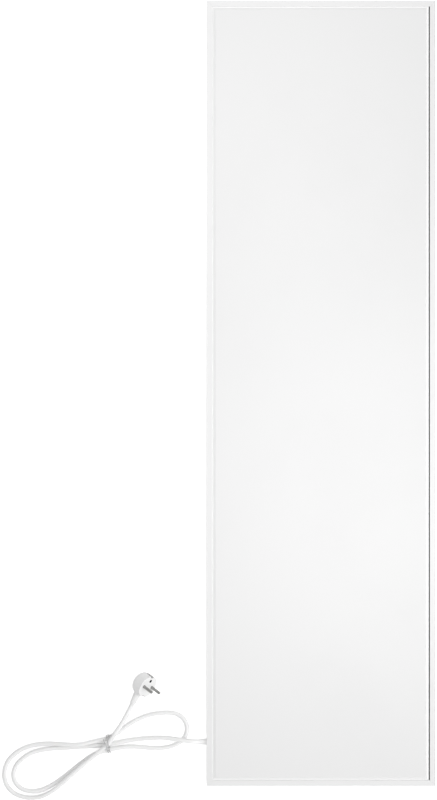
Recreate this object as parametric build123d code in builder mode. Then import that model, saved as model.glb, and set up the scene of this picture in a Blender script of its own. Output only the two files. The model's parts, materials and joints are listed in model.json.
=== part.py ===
from build123d import *

from math import asin, atan2, ceil, cos, degrees, dist, radians, sin, tan
import os

# Infrared panel heater: a tall white radiant panel in a frame of four mitred rails, with its mains lead
# gathered into a tied bundle. Millimetres. The panel lies on its back: +Z points out of the heating
# face, +Y runs up the panel, away from the lead, and Z = 0 is the plane of the wall pads' feet. The
# origin is under the middle of the panel.

# ---- driving dimensions: panel and frame ----
panel_width = 350.0
panel_length = 1200.0
wall_gap = 4.0  # the pads hold the frame this far off the wall
frame_depth = 22.0
rail_width = 9.0  # the rail's face, seen from the front
rail_wall = 1.5
rail_edge_radius = 0.6
rail_groove_width = 0.9
rail_groove_depth = 0.4
rail_groove_places = [2.0, 5.4]  # distance of each shallow groove from the rail's outer edge
mitre_line = 0.1  # the hairline that stays open at each mitred corner
ledge_reach = 10.0  # how far the plate's ledge and the back flange stand in from the rail
ledge_thickness = 1.4
flange_thickness = 1.2

# ---- driving dimensions: heating plate and the layers behind it ----
plate_recess = 0.4  # the plate's face lies this far below the rails' faces
plate_thickness = 1.0
tray_depth = 4.2  # from the ledge that the plate's folded edge stands on up to its face
rim_rise = 1.5  # the shallow slope round the face, above the upright edge
rim_run = 4.5
plate_fold_radius = 2.0
plate_closed_gap = 0.3
plate_open_gap = 1.5  # room to expand, along the right-hand rail only
film_thickness = 0.35
strip_thickness = 0.2
strip_width = 76.0
strip_pitch = 88.0
strip_end_margin = 12.0
busbar_thickness = 0.2
busbar_width = 8.0
busbar_inset = 12.5  # from the board's side to the middle of a busbar
foil_thickness = 0.1
board_side_gap = 1.0
busbar_hole_radius = 2.2

# ---- driving dimensions: back plate, its screws, hangers and pads ----
back_inset = 0.2
back_thickness = 0.8
back_side_gap = 0.3
screw_shank_radius = 1.45
screw_hole_radius = 1.6
screw_pilot_radius = 1.5
screw_head_radius = 3.0
screw_head_height = 1.8
screw_length = 3.2
side_screw_count = 6
side_screw_inset = 140.0  # from the panel's end to the first screw of a side rail
end_screw_inset = 115.0  # from the panel's side to the first screw of an end rail
hanger_inset_x = 60.0
hanger_inset_y = 150.0
hanger_width = 60.0
hanger_height = 46.0
hanger_thickness = 1.5
hanger_offset = 5.0  # the hanger plate's middle lies this far above its entry hole
keyhole_entry_radius = 5.5
keyhole_slot_width = 5.5
keyhole_slot_rise = 13.0
pocket_width = 38.0
pocket_height = 36.0
pocket_depth = 8.5
pocket_sheet = 0.6
pocket_taper = 8.0
rivet_radius = 2.0
rivet_hole_radius = 2.1
rivet_head_radius = 3.5
rivet_head_height = 1.0
rivet_tail_radius = 2.6
rivet_tail_height = 2.0
rivet_inset = 5.0
pad_radius = 8.0
pad_foot_radius = 7.0
pad_inset_x = 27.0
pad_inset_y = 27.0

# ---- driving dimensions: corner keys ----
key_leg = 42.0
key_clearance = 0.1
key_screw_place = 28.0  # from the panel's corner, along each rail
key_screw_radius = 1.45
key_screw_hole_radius = 1.6
key_screw_head_radius = 2.8
key_screw_length = 9.0

# ---- driving dimensions: electrical box and what it holds ----
gland_from_end = 66.7  # the lead leaves the left rail this far above the panel's lower edge
gland_height = 9.2  # above the frame's back
box_left_gap = 25.0  # from the panel's left edge to the box
box_length = 84.0
box_width = 54.0
box_height = 15.0
box_wall = 2.0
box_corner_radius = 4.0
box_boss_radius = 3.6
box_boss_inset = 5.0
window_length = 64.0
window_width = 34.0
seal_thickness = 0.8
cover_thickness = 1.2
cover_screw_head_radius = 2.8
cover_screw_head_height = 1.1
cover_screw_length = 10.0
clamp_place = 16.0  # from the box's left side
clamp_length = 8.0
clamp_width = 26.0
clamp_thickness = 3.4
clamp_screw_spacing = 18.0
clamp_boss_radius = 3.2
clamp_gap = 0.1
block_place = 54.0  # the terminal block's middle, from the box's left side
block_length = 20.0
block_height = 11.5
pole_pitch = 11.0
pole_width = 9.6
core_diameter = 2.4
core_hole_radius = 1.5
core_hole_depth = 6.0
core_end_depth = 4.0
terminal_screw_radius = 1.9
terminal_well_radius = 2.1
terminal_well_depth = 3.5
terminal_screw_height = 2.0
service_margin = 6.5  # the board's air pocket reaches this far past the box and the leads
service_turn = 24.0  # from the cut-out's blade to where the lead turns down
service_side = 10.0  # from there to the pocket's side
channel_width = 6.0
lead_margin = 13.5  # the leads to the busbars run this far above the board's lower edge
beside_box = 30.0  # from the box's right side to the cut-out's and the earth stud's middle
stud_drop = 17.7  # from the lead's axis down to the earth stud
cutout_cap_radius = 8.0
cutout_cap_height = 6.5
cutout_base_radius = 7.0
cutout_base_height = 5.5
cutout_blade_width = 4.0
cutout_blade_thickness = 0.8
cutout_blade_reach = 16.0
stud_radius = 2.0
stud_length = 8.0
washer_radius = 4.5
washer_thickness = 0.8
ring_radius = 4.0
ring_thickness = 0.8
ring_neck = 6.0
ring_barrel_radius = 1.7
ring_barrel_length = 6.0
stud_hole_radius = 2.1
nut_across_flats = 7.0
nut_height = 3.2

# ---- driving dimensions: mains lead, its strain relief, tie and plug ----
cord_diameter = 7.0
relief_bore_radius = 3.6
relief_barrel_radius = 4.6
relief_barrel_length = 12.0
relief_hole_radius = 4.7
relief_flange_radius = 5.5
relief_flange_thickness = 1.0
relief_root_radius = 4.5
relief_tip_radius = 4.0
relief_reach = 10.5  # how far it stands out of the rail
relief_bore_end = 0.5  # its bore ends this far inside the rail's outer side; outside it is moulded solid
sheath_end = 22.0  # the sheath's end, from the box's left side
core_circle_radius = 1.7
tie_diameter = 1.5
plug_face_radius = 18.0
plug_edge_radius = 1.2
plug_shoulder_radius = 8.5
plug_crown_radius = 62.0
plug_height = 22.0
plug_neck_depth = 12.6  # the neck's axis lies this far behind the plug's face
plug_neck_start = 8.0
plug_neck_root_radius = 7.0
plug_neck_tip_radius = 4.5
plug_reach = 36.0
plug_rib_count = 5
plug_rib_pitch = 3.0
plug_rib_width = 1.3
plug_rib_depth = 0.6
pin_diameter = 4.8
pin_length = 19.0
pin_spacing = 19.0
pin_seat = 6.0
pin_clearance = 0.1
recess_width = 7.0
recess_floor = 15.4
recess_lengths = {-1: 14.0, 1: 5.0}  # short on the side where the neck stands
clip_width = 4.0
clip_thickness = 0.8
clip_bow = 1.3
socket_radius = 2.5
socket_depth = 12.0
socket_place = 10.0

# ---- levels and lines worked out from the dimensions ----
frame_back = wall_gap
frame_front = frame_back + frame_depth
plate_face = frame_front - plate_recess
plate_back = plate_face - plate_thickness
rim_foot = plate_face - rim_rise
ledge_top = plate_face - tray_depth
ledge_bottom = ledge_top - ledge_thickness
back_outer = frame_back + back_inset
back_inner = back_outer + back_thickness
flange_top = back_inner + flange_thickness
chamber_back = frame_back + rail_wall
front_film_back = plate_back - film_thickness
strip_back = front_film_back - strip_thickness
busbar_back = strip_back - busbar_thickness
rear_film_back = busbar_back - film_thickness
board_top = rear_film_back - foil_thickness
half_width = panel_width / 2
half_length = panel_length / 2
flange_line = rail_width + ledge_reach / 2
board_width = panel_width - 2 * (rail_width + ledge_reach + board_side_gap)
board_length = panel_length - 2 * (rail_width + ledge_reach + board_side_gap)
busbar_spacing = board_width - 2 * busbar_inset
strip_count = int((board_length - 2 * strip_end_margin + strip_pitch - strip_width) / strip_pitch)
lead_line = -board_length / 2 + lead_margin
gland_y = -half_length + gland_from_end
gland_z = frame_back + gland_height
box_left = -half_width + box_left_gap
box_right = box_left + box_length
box_middle = box_left + box_length / 2
box_top = back_inner + box_height
box_floor = box_top - box_wall
cover_back = back_outer - seal_thickness - cover_thickness
block_middle = box_left + block_place
rim_angle = degrees(atan2(rim_run, rim_rise))  # away from upright
cutout_x = stud_x = box_right + beside_box
stud_y = gland_y - stud_drop
turn_x = cutout_x + cutout_blade_reach + service_turn
service_pocket_right = turn_x + service_side
service_pocket_top = gland_y + box_width / 2 + service_margin
service_pocket_bottom = lead_line - service_margin

corners = [(side, end) for side in (-1, 1) for end in (-1, 1)]
corner_names = {(-1, -1): "lower_left", (-1, 1): "upper_left", (1, -1): "lower_right", (1, 1): "upper_right"}
hanger_places = [
    (side * (half_width - hanger_inset_x), end * (half_length - hanger_inset_y)) for side, end in corners
]
side_screw_span = panel_length - 2 * side_screw_inset
side_screw_places = [
    side_screw_span * (place / (side_screw_count - 1) - 0.5) for place in range(side_screw_count)
]
end_screw_places = [side * (half_width - end_screw_inset) for side in (-1, 1)]
box_screw_places = [
    (box_middle + side * (box_length / 2 - box_boss_inset), gland_y + end * (box_width / 2 - box_boss_inset))
    for side, end in corners
]
clamp_screw_places = [
    (box_left + clamp_place, gland_y + side * clamp_screw_spacing / 2) for side in (-1, 1)
]
rivet_places = [
    (side * (hanger_width / 2 - rivet_inset), hanger_offset + end * (hanger_height / 2 - rivet_inset))
    for side, end in corners
]
pole_places = [gland_y + pole * pole_pitch for pole in (-1, 0, 1)]
earth_pole, neutral_pole, live_pole = pole_places

os.makedirs("parts", exist_ok=True)


def save(builder, name):
    """Label a finished piece and write it under its own name."""
    builder.part.label = name
    export_step(builder.part, f"parts/{name}.step")


def turned_screw(head_radius, head_height, shank_radius, length, countersunk=False):
    """A screw on the Z axis, head down: the head's upper side is at Z = 0 and the shank points up."""
    with BuildPart() as screw:
        with BuildSketch(Plane.XZ):
            with BuildLine():
                if countersunk:
                    Polyline((0, -head_height), (head_radius, -head_height), (shank_radius, 0))
                else:
                    Line((0, -head_height), (head_radius - head_height / 2, -head_height))
                    edge = RadiusArc(
                        (head_radius - head_height / 2, -head_height), (head_radius, 0), -head_height * 1.1
                    )
                    Line(edge @ 1, (shank_radius, 0))
                Polyline(
                    (shank_radius, 0), (shank_radius, length - 1), (shank_radius / 2, length), (0, length)
                )
                Line((0, length), (0, -head_height))
            make_face()
        revolve(axis=Axis.Z)
    return screw.part


# ---- frame: four rails cut from one extrusion, with mitred ends ----
def flange_screw_places(inward):
    """Where the back plate's screws pass through a rail's flange; inward points into the panel."""
    if inward.X:
        return [(-inward.X * (half_width - flange_line), place) for place in side_screw_places]
    return [(place, -inward.Y * (half_length - flange_line)) for place in end_screw_places]


def key_screw_places(inward):
    """The two corner key screws of a rail, on the middle line of its box section."""
    if inward.X:
        line = -inward.X * (half_width - rail_width / 2)
        return [(line, end * (half_length - key_screw_place)) for end in (-1, 1)]
    line = -inward.Y * (half_length - rail_width / 2)
    return [(side * (half_width - key_screw_place), line) for side in (-1, 1)]


def frame_rail(inward, length):
    """A rail along one side of the panel: box section, plate ledge and back flange in one extrusion."""
    along = inward.cross(Vector(0, 0, 1))
    outer_edge = Vector(-inward.X * half_width, -inward.Y * half_length, frame_back)
    profile_plane = Plane(origin=outer_edge - along * (length / 2), x_dir=inward, z_dir=along)
    reach = rail_width + ledge_reach
    with BuildPart() as rail:
        with BuildSketch(profile_plane) as profile:
            with BuildLine():
                Polyline(
                    (0, 0),
                    (rail_width, 0),
                    (rail_width, back_inner - frame_back),
                    (reach, back_inner - frame_back),
                    (reach, flange_top - frame_back),
                    (rail_width, flange_top - frame_back),
                    (rail_width, ledge_bottom - frame_back),
                    (reach, ledge_bottom - frame_back),
                    (reach, ledge_top - frame_back),
                    (rail_width, ledge_top - frame_back),
                    (rail_width, frame_depth),
                    (0, frame_depth),
                    close=True,
                )
            make_face()
            fillet(profile.vertices().group_by(Axis.Y)[-1], radius=rail_edge_radius)
            with Locations((rail_width / 2, frame_depth / 2)):
                Rectangle(rail_width - 2 * rail_wall, frame_depth - 2 * rail_wall, mode=Mode.SUBTRACT)
            with Locations(*[(place, frame_depth) for place in rail_groove_places]):
                Rectangle(rail_groove_width, 2 * rail_groove_depth, mode=Mode.SUBTRACT)
        extrude(amount=length)
        for end in (-1, 1):
            corner = outer_edge + along * (end * (length - mitre_line) / 2)
            split(bisect_by=Plane(origin=corner, z_dir=inward + along * end), keep=Keep.BOTTOM)
        with Locations(*[(x, y, flange_top) for x, y in flange_screw_places(inward)]):
            Hole(screw_pilot_radius, depth=flange_thickness)
        with Locations(*[Location((x, y, frame_back), (180, 0, 0)) for x, y in key_screw_places(inward)]):
            CounterSinkHole(key_screw_hole_radius, key_screw_head_radius, depth=rail_wall)
        if inward.X > 0:
            with BuildSketch(Plane(origin=(-half_width, gland_y, gland_z), z_dir=(1, 0, 0))):
                Circle(relief_hole_radius)
            extrude(amount=rail_width, mode=Mode.SUBTRACT)
    return rail


save(frame_rail(Vector(1, 0, 0), panel_length), "frame_rail_left")
save(frame_rail(Vector(-1, 0, 0), panel_length), "frame_rail_right")
save(frame_rail(Vector(0, -1, 0), panel_width), "frame_rail_top")
save(frame_rail(Vector(0, 1, 0), panel_width), "frame_rail_bottom")


# ---- corner keys: angle pieces inside the box section, screwed from the back ----
def corner_key(side, end):
    """One angle piece, its two legs inside the rails that meet at this corner."""
    outer = rail_wall + key_clearance
    inner = rail_width - rail_wall - key_clearance
    outline = [
        (outer, outer),
        (outer + key_leg, outer),
        (outer + key_leg, inner),
        (inner, inner),
        (inner, outer + key_leg),
        (outer, outer + key_leg),
    ]
    with BuildPart() as key:
        with BuildSketch(Plane.XY.offset(chamber_back + key_clearance)) as shape:
            with BuildLine():
                Polyline(
                    *[(side * (half_width - x), end * (half_length - y)) for x, y in outline], close=True
                )
            make_face()
        extrude(amount=frame_depth - 2 * rail_wall - 2 * key_clearance)
        chamfer(key.edges().filter_by(Axis.Z).group_by(SortBy.DISTANCE)[-1], length=1.0)
        middle = rail_width / 2
        screw_points = [
            (side * (half_width - middle), end * (half_length - key_screw_place)),
            (side * (half_width - key_screw_place), end * (half_length - middle)),
        ]
        with Locations(*[(x, y, chamber_back + key_screw_length) for x, y in screw_points]):
            Hole(screw_pilot_radius, depth=key_screw_length)
    return key.part


key_solids = [corner_key(side, end) for side, end in corners]
with BuildPart() as corner_keys:
    add(key_solids)
save(corner_keys, "corner_keys")

key_screw = turned_screw(
    key_screw_head_radius - 0.1,
    key_screw_head_radius - key_screw_hole_radius,
    key_screw_radius,
    key_screw_length - rail_wall,
    countersunk=True,
)
all_sides = [Vector(1, 0, 0), Vector(-1, 0, 0), Vector(0, 1, 0), Vector(0, -1, 0)]
with BuildPart() as corner_key_screws:
    head_top = frame_back + key_screw_head_radius - key_screw_hole_radius
    with Locations(*[(x, y, head_top) for way in all_sides for x, y in key_screw_places(way)]):
        add(key_screw)
save(corner_key_screws, "corner_key_screws")

# ---- heating plate: a shallow tray, its edges folded down to stand on the rails' ledges ----
plate_width = panel_width - 2 * rail_width - plate_closed_gap - plate_open_gap
plate_length = panel_length - 2 * rail_width - 2 * plate_closed_gap
plate_middle = (plate_closed_gap - plate_open_gap) / 2
inner_foot = rim_foot - plate_thickness * tan(radians(rim_angle) / 2)
tray_forms = [
    (0, rim_foot, plate_face, Mode.ADD),
    (plate_thickness, inner_foot, plate_back, Mode.SUBTRACT),
]
with BuildPart() as heating_plate:
    for inset, foot, top, mode in tray_forms:
        for base, height, taper in ((ledge_top, foot - ledge_top, 0), (foot, top - foot, rim_angle)):
            with BuildSketch(Plane.XY.offset(base)):
                with Locations((plate_middle, 0)):
                    Rectangle(plate_width - 2 * inset, plate_length - 2 * inset)
            extrude(amount=height, taper=taper, mode=mode)
        if mode == Mode.ADD:
            fillet(heating_plate.faces().sort_by(Axis.Z)[-1].edges(), radius=plate_fold_radius)
save(heating_plate, "heating_plate")

# ---- heating layers behind the plate, from the front to the back ----
with BuildPart() as front_film:
    with BuildSketch(Plane.XY.offset(front_film_back)):
        Rectangle(board_width, board_length)
    extrude(amount=film_thickness)
save(front_film, "front_insulating_film")

with BuildPart() as heating_strips:
    with BuildSketch(Plane.XY.offset(strip_back)):
        with GridLocations(0, strip_pitch, 1, strip_count):
            Rectangle(busbar_spacing + busbar_width, strip_width)
    extrude(amount=strip_thickness)
save(heating_strips, "heating_strips")

busbar_length = 2 * -lead_line + 2 * busbar_width
for side, name in ((-1, "busbar_left"), (1, "busbar_right")):
    with BuildPart() as busbar:
        with BuildSketch(Plane.XY.offset(busbar_back)):
            with Locations((side * busbar_spacing / 2, 0)):
                Rectangle(busbar_width, busbar_length)
        extrude(amount=busbar_thickness)
    save(busbar, name)

busbar_lead_places = [(side * busbar_spacing / 2, lead_line) for side in (-1, 1)]
with BuildPart() as rear_film:
    with BuildSketch(Plane.XY.offset(rear_film_back)):
        Rectangle(board_width, board_length)
        with Locations(*busbar_lead_places):
            Circle(busbar_hole_radius, mode=Mode.SUBTRACT)
    extrude(amount=film_thickness)
save(rear_film, "rear_insulating_film")

pocket_left = box_left - box_wall
service_pocket_middle = (
    (pocket_left + service_pocket_right) / 2,
    (service_pocket_top + service_pocket_bottom) / 2,
)
service_pocket_size = (service_pocket_right - pocket_left, service_pocket_top - service_pocket_bottom)
channel_end = busbar_spacing / 2 + channel_width / 2
channel_middle = ((service_pocket_right + channel_end) / 2, lead_line)
with BuildPart() as reflector_foil:
    with BuildSketch(Plane.XY.offset(board_top)):
        Rectangle(board_width, board_length)
        with Locations(service_pocket_middle):
            Rectangle(*service_pocket_size, mode=Mode.SUBTRACT)
        with Locations(channel_middle):
            Rectangle(channel_end - service_pocket_right, channel_width, mode=Mode.SUBTRACT)
    extrude(amount=foil_thickness)
save(reflector_foil, "reflector_foil")

pocket_top = back_inner + hanger_thickness + pocket_depth + pocket_sheet
with BuildPart() as insulation_board:
    with BuildSketch(Plane.XY.offset(back_inner)):
        Rectangle(board_width, board_length)
        with Locations(service_pocket_middle):
            Rectangle(*service_pocket_size, mode=Mode.SUBTRACT)
        with Locations((pocket_left, gland_y)):
            Rectangle(2 * box_left_gap, 2 * relief_flange_radius, mode=Mode.SUBTRACT)
    extrude(amount=board_top - back_inner)
    with BuildSketch(Plane.XY.offset(back_inner)):
        with Locations(*[(x, y + hanger_offset) for x, y in hanger_places]):
            Rectangle(hanger_width + 2 * board_side_gap, hanger_height + 2 * board_side_gap)
    extrude(amount=pocket_top + board_side_gap - back_inner, mode=Mode.SUBTRACT)
    with BuildSketch(Plane.XY.offset(board_top)):
        with Locations(channel_middle):
            Rectangle(channel_end - service_pocket_right, channel_width)
    extrude(amount=-(board_top - gland_z + channel_width / 2), mode=Mode.SUBTRACT)
save(insulation_board, "insulation_board")

# ---- back plate, its screws and the rubber pads ----
back_width = panel_width - 2 * rail_width - 2 * back_side_gap
back_length = panel_length - 2 * rail_width - 2 * back_side_gap
all_flange_screws = [place for way in all_sides for place in flange_screw_places(way)]
with BuildPart() as back_plate:
    with BuildSketch(Plane.XY.offset(back_outer)):
        RectangleRounded(back_width, back_length, 1.0)
        with Locations(*[(x, y + hanger_offset) for x, y in hanger_places]):
            RectangleRounded(pocket_width - 2, pocket_height - 2, 4.0, mode=Mode.SUBTRACT)
        with Locations((box_middle, gland_y)):
            RectangleRounded(window_length, window_width, 3.0, mode=Mode.SUBTRACT)
        with Locations(*all_flange_screws, *box_screw_places):
            Circle(screw_hole_radius, mode=Mode.SUBTRACT)
        with Locations(*[(x + u, y + v) for x, y in hanger_places for u, v in rivet_places]):
            Circle(rivet_hole_radius, mode=Mode.SUBTRACT)
    extrude(amount=back_thickness)
save(back_plate, "back_plate")

plate_screw = turned_screw(screw_head_radius, screw_head_height, screw_shank_radius, screw_length)
with BuildPart() as back_plate_screws:
    with Locations(*[(x, y, back_outer) for x, y in all_flange_screws]):
        add(plate_screw)
save(back_plate_screws, "back_plate_screws")

for side, end in corners:
    with BuildPart() as wall_pad:
        place = (side * (half_width - pad_inset_x), end * (half_length - pad_inset_y))
        with BuildSketch(Plane.XZ.offset(-place[1])):
            with BuildLine():
                foot = Line((place[0], 0), (place[0] + pad_foot_radius - 1, 0))
                RadiusArc(foot @ 1, (place[0] + pad_foot_radius, 1), -1)
                Polyline(
                    (place[0] + pad_foot_radius, 1),
                    (place[0] + pad_radius, back_outer),
                    (place[0], back_outer),
                    (place[0], 0),
                )
            make_face()
        revolve(axis=Axis((*place, 0), (0, 0, 1)))
    save(wall_pad, f"wall_pad_{corner_names[side, end]}")


# ---- keyhole hangers: a stiff plate behind each window, closed by a pressed cup ----
def hanger_plate(x, y):
    with BuildPart() as plate:
        with BuildSketch(Plane(origin=(x, y, back_inner))):
            with Locations((0, hanger_offset)):
                RectangleRounded(hanger_width, hanger_height, 4.0)
            Circle(keyhole_entry_radius, mode=Mode.SUBTRACT)
            with Locations((0, keyhole_slot_rise / 2)):
                Rectangle(keyhole_slot_width, keyhole_slot_rise, mode=Mode.SUBTRACT)
            with Locations((0, keyhole_slot_rise)):
                Circle(keyhole_slot_width / 2, mode=Mode.SUBTRACT)
            with Locations(*rivet_places):
                Circle(rivet_hole_radius, mode=Mode.SUBTRACT)
        extrude(amount=hanger_thickness)
    return plate


def hanger_pocket(x, y):
    base = back_inner + hanger_thickness
    with BuildPart() as pocket:
        with BuildSketch(Plane(origin=(x, y + hanger_offset, base))):
            RectangleRounded(pocket_width, pocket_height, 5.0)
        extrude(amount=pocket_depth + pocket_sheet, taper=pocket_taper)
        fillet(pocket.faces().sort_by(Axis.Z)[-1].edges(), radius=2.0)
        with BuildSketch(Plane(origin=(x, y + hanger_offset, base))):
            RectangleRounded(hanger_width, hanger_height, 4.0)
        extrude(amount=pocket_sheet)
        with BuildSketch(Plane(origin=(x, y + hanger_offset, base))):
            RectangleRounded(pocket_width - 2 * pocket_sheet, pocket_height - 2 * pocket_sheet, 4.4)
        extrude(amount=pocket_depth, taper=pocket_taper, mode=Mode.SUBTRACT)
        with BuildSketch(Plane(origin=(x, y, base))):
            with Locations(*rivet_places):
                Circle(rivet_hole_radius)
        extrude(amount=pocket_sheet, mode=Mode.SUBTRACT)
    return pocket


for (side, end), (x, y) in zip(corners, hanger_places):
    save(hanger_plate(x, y), f"hanger_plate_{corner_names[side, end]}")
    save(hanger_pocket(x, y), f"hanger_pocket_{corner_names[side, end]}")

with BuildPart() as rivet:
    grip = back_thickness + hanger_thickness + pocket_sheet
    with BuildSketch(Plane.XZ):
        with BuildLine():
            head = RadiusArc((0, -rivet_head_height), (rivet_head_radius, 0), -rivet_head_radius * 1.8)
            Polyline(
                head @ 1,
                (rivet_radius, 0),
                (rivet_radius, grip),
                (rivet_tail_radius, grip),
                (rivet_tail_radius, grip + rivet_tail_height),
                (0, grip + rivet_tail_height),
                head @ 0,
            )
        make_face()
    revolve(axis=Axis.Z)
with BuildPart() as hanger_rivets:
    with Locations(*[(x + u, y + v, back_outer) for x, y in hanger_places for u, v in rivet_places]):
        add(rivet.part)
save(hanger_rivets, "hanger_rivets")

# ---- junction box: a tub behind the service window, closed from outside by a sealed cover ----
saddle_height = gland_z + cord_diameter / 2 + clamp_gap
clamp_seat = gland_z - cord_diameter / 2 - clamp_gap
with BuildPart() as junction_box:
    with BuildSketch(Plane(origin=(box_middle, gland_y, back_inner))):
        RectangleRounded(box_length, box_width, box_corner_radius)
    extrude(amount=box_height)
    fillet(junction_box.faces().sort_by(Axis.Z)[-1].edges(), radius=1.2)
    with BuildSketch(Plane(origin=(box_middle, gland_y, back_inner))):
        RectangleRounded(box_length - 2 * box_wall, box_width - 2 * box_wall, box_corner_radius - box_wall)
    extrude(amount=box_height - box_wall, mode=Mode.SUBTRACT)
    with BuildSketch(Plane.XY.offset(back_inner)):
        with Locations(*box_screw_places):
            Circle(box_boss_radius)
    extrude(amount=box_height - box_wall / 2)
    with BuildSketch(Plane.XY.offset(clamp_seat)):
        with Locations(*clamp_screw_places):
            Circle(clamp_boss_radius)
    extrude(amount=box_top - box_wall / 2 - clamp_seat)
    with BuildSketch(Plane.XY.offset(saddle_height)):
        with Locations((box_left + clamp_place, gland_y)):
            Rectangle(clamp_length, cord_diameter)
    extrude(amount=box_top - box_wall / 2 - saddle_height)
    with Locations(*[Location((x, y, back_inner), (180, 0, 0)) for x, y in box_screw_places]):
        Hole(screw_pilot_radius, depth=cover_screw_length)
    with Locations(*[Location((x, y, clamp_seat), (180, 0, 0)) for x, y in clamp_screw_places]):
        Hole(screw_pilot_radius, depth=box_floor - clamp_seat)
    with BuildSketch(Plane(origin=(box_left, gland_y, gland_z), z_dir=(1, 0, 0))):
        Circle(relief_bore_radius)
    extrude(amount=box_wall, mode=Mode.SUBTRACT)
    with BuildSketch(Plane(origin=(box_right, gland_y, gland_z), x_dir=(0, 1, 0), z_dir=(-1, 0, 0))):
        with Locations(*[(place - gland_y, 0) for place in pole_places]):
            Circle(core_hole_radius)
    extrude(amount=box_wall, mode=Mode.SUBTRACT)
save(junction_box, "junction_box")

with BuildPart() as box_seal:
    with BuildSketch(Plane(origin=(box_middle, gland_y, back_outer - seal_thickness))):
        RectangleRounded(box_length, box_width, box_corner_radius)
        RectangleRounded(window_length, window_width, 3.0, mode=Mode.SUBTRACT)
    extrude(amount=seal_thickness)
    with Locations(*[(x, y, back_outer) for x, y in box_screw_places]):
        Hole(screw_hole_radius, depth=seal_thickness)
save(box_seal, "box_seal")

with BuildPart() as box_cover:
    with BuildSketch(Plane(origin=(box_middle, gland_y, cover_back))):
        RectangleRounded(box_length, box_width, box_corner_radius)
    extrude(amount=cover_thickness)
    chamfer(box_cover.faces().sort_by(Axis.Z)[0].edges(), length=0.4)
    with Locations(*[(x, y, cover_back + cover_thickness) for x, y in box_screw_places]):
        Hole(screw_hole_radius, depth=cover_thickness)
save(box_cover, "box_cover")

cover_screw = turned_screw(
    cover_screw_head_radius, cover_screw_head_height, screw_shank_radius, cover_screw_length
)
with BuildPart() as cover_screws:
    with Locations(*[(x, y, cover_back) for x, y in box_screw_places]):
        add(cover_screw)
save(cover_screws, "cover_screws")

# ---- inside the box: clamp, terminal block and their screws ----
with BuildPart() as cord_clamp:
    with BuildSketch(Plane(origin=(box_left + clamp_place, gland_y, clamp_seat - clamp_thickness))):
        RectangleRounded(clamp_length, clamp_width, 2.0)
    extrude(amount=clamp_thickness)
    with Locations(*[(x, y, clamp_seat) for x, y in clamp_screw_places]):
        Hole(screw_hole_radius, depth=clamp_thickness)
save(cord_clamp, "cord_clamp")

clamp_screw = turned_screw(2.6, 1.2, screw_shank_radius, box_floor - clamp_seat + clamp_thickness - 1)
with BuildPart() as clamp_screws:
    with Locations(*[(x, y, clamp_seat - clamp_thickness) for x, y in clamp_screw_places]):
        add(clamp_screw)
save(clamp_screws, "clamp_screws")

block_face = box_floor - block_height
block_holes = [(block_middle + side * block_length / 4, place) for side in (-1, 1) for place in pole_places]
with BuildPart() as terminal_block:
    with BuildSketch(Plane(origin=(block_middle, gland_y, block_face))):
        with GridLocations(0, pole_pitch, 1, len(pole_places)):
            RectangleRounded(block_length, pole_width, 1.2)
    extrude(amount=block_height)
    with BuildSketch(Plane(origin=(block_middle, gland_y, block_face + block_height / 2))):
        Rectangle(block_length / 2, 2 * pole_pitch + pole_width)
    extrude(amount=block_height / 2)
    for side in (-1, 1):
        face_x = block_middle + side * block_length / 2
        with BuildSketch(Plane(origin=(face_x, gland_y, gland_z), x_dir=(0, 1, 0), z_dir=(side, 0, 0))):
            with GridLocations(pole_pitch, 0, len(pole_places), 1):
                Circle(core_hole_radius)
        extrude(amount=-core_hole_depth, mode=Mode.SUBTRACT)
    with Locations(*[Location((x, y, block_face), (180, 0, 0)) for x, y in block_holes]):
        Hole(terminal_well_radius, depth=terminal_well_depth)
save(terminal_block, "terminal_block")

with BuildPart() as terminal_screws:
    well_floor = block_face + terminal_well_depth
    with BuildSketch(Plane.XY.offset(well_floor - terminal_screw_height)):
        with Locations(*block_holes):
            Circle(terminal_screw_radius)
    extrude(amount=terminal_screw_height)
    with BuildSketch(Plane.XY.offset(well_floor - terminal_screw_height)):
        with Locations(*block_holes):
            Rectangle(2 * terminal_screw_radius, 0.7)
    extrude(amount=0.8, mode=Mode.SUBTRACT)
save(terminal_screws, "terminal_screws")

# ---- thermal cut-out, pressed against the rear film by the air pocket's board ----
with BuildPart() as thermal_cutout:
    with BuildSketch(Plane(origin=(cutout_x, live_pole, rear_film_back - cutout_cap_height))):
        Circle(cutout_cap_radius)
    extrude(amount=cutout_cap_height)
    fillet(thermal_cutout.faces().sort_by(Axis.Z)[-1].edges(), radius=1.0)
    with BuildSketch(Plane(origin=(cutout_x, live_pole, rear_film_back - cutout_cap_height))):
        Circle(cutout_base_radius)
    extrude(amount=-cutout_base_height)
    with BuildSketch(Plane(origin=(cutout_x, live_pole, gland_z - cutout_blade_thickness / 2))):
        Rectangle(2 * cutout_blade_reach, cutout_blade_width)
    extrude(amount=cutout_blade_thickness)
save(thermal_cutout, "thermal_cutout")

# ---- earth stud with washer, ring terminal and nut ----
with BuildPart() as earth_stud:
    with BuildSketch(Plane(origin=(stud_x, stud_y, back_inner))):
        Circle(stud_radius)
    extrude(amount=stud_length)
    chamfer(earth_stud.faces().sort_by(Axis.Z)[-1].edges(), length=0.5)
save(earth_stud, "earth_stud")

with BuildPart() as earth_washer:
    with BuildSketch(Plane(origin=(stud_x, stud_y, back_inner))):
        Circle(washer_radius)
        Circle(stud_hole_radius, mode=Mode.SUBTRACT)
    extrude(amount=washer_thickness)
save(earth_washer, "earth_washer")

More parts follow.
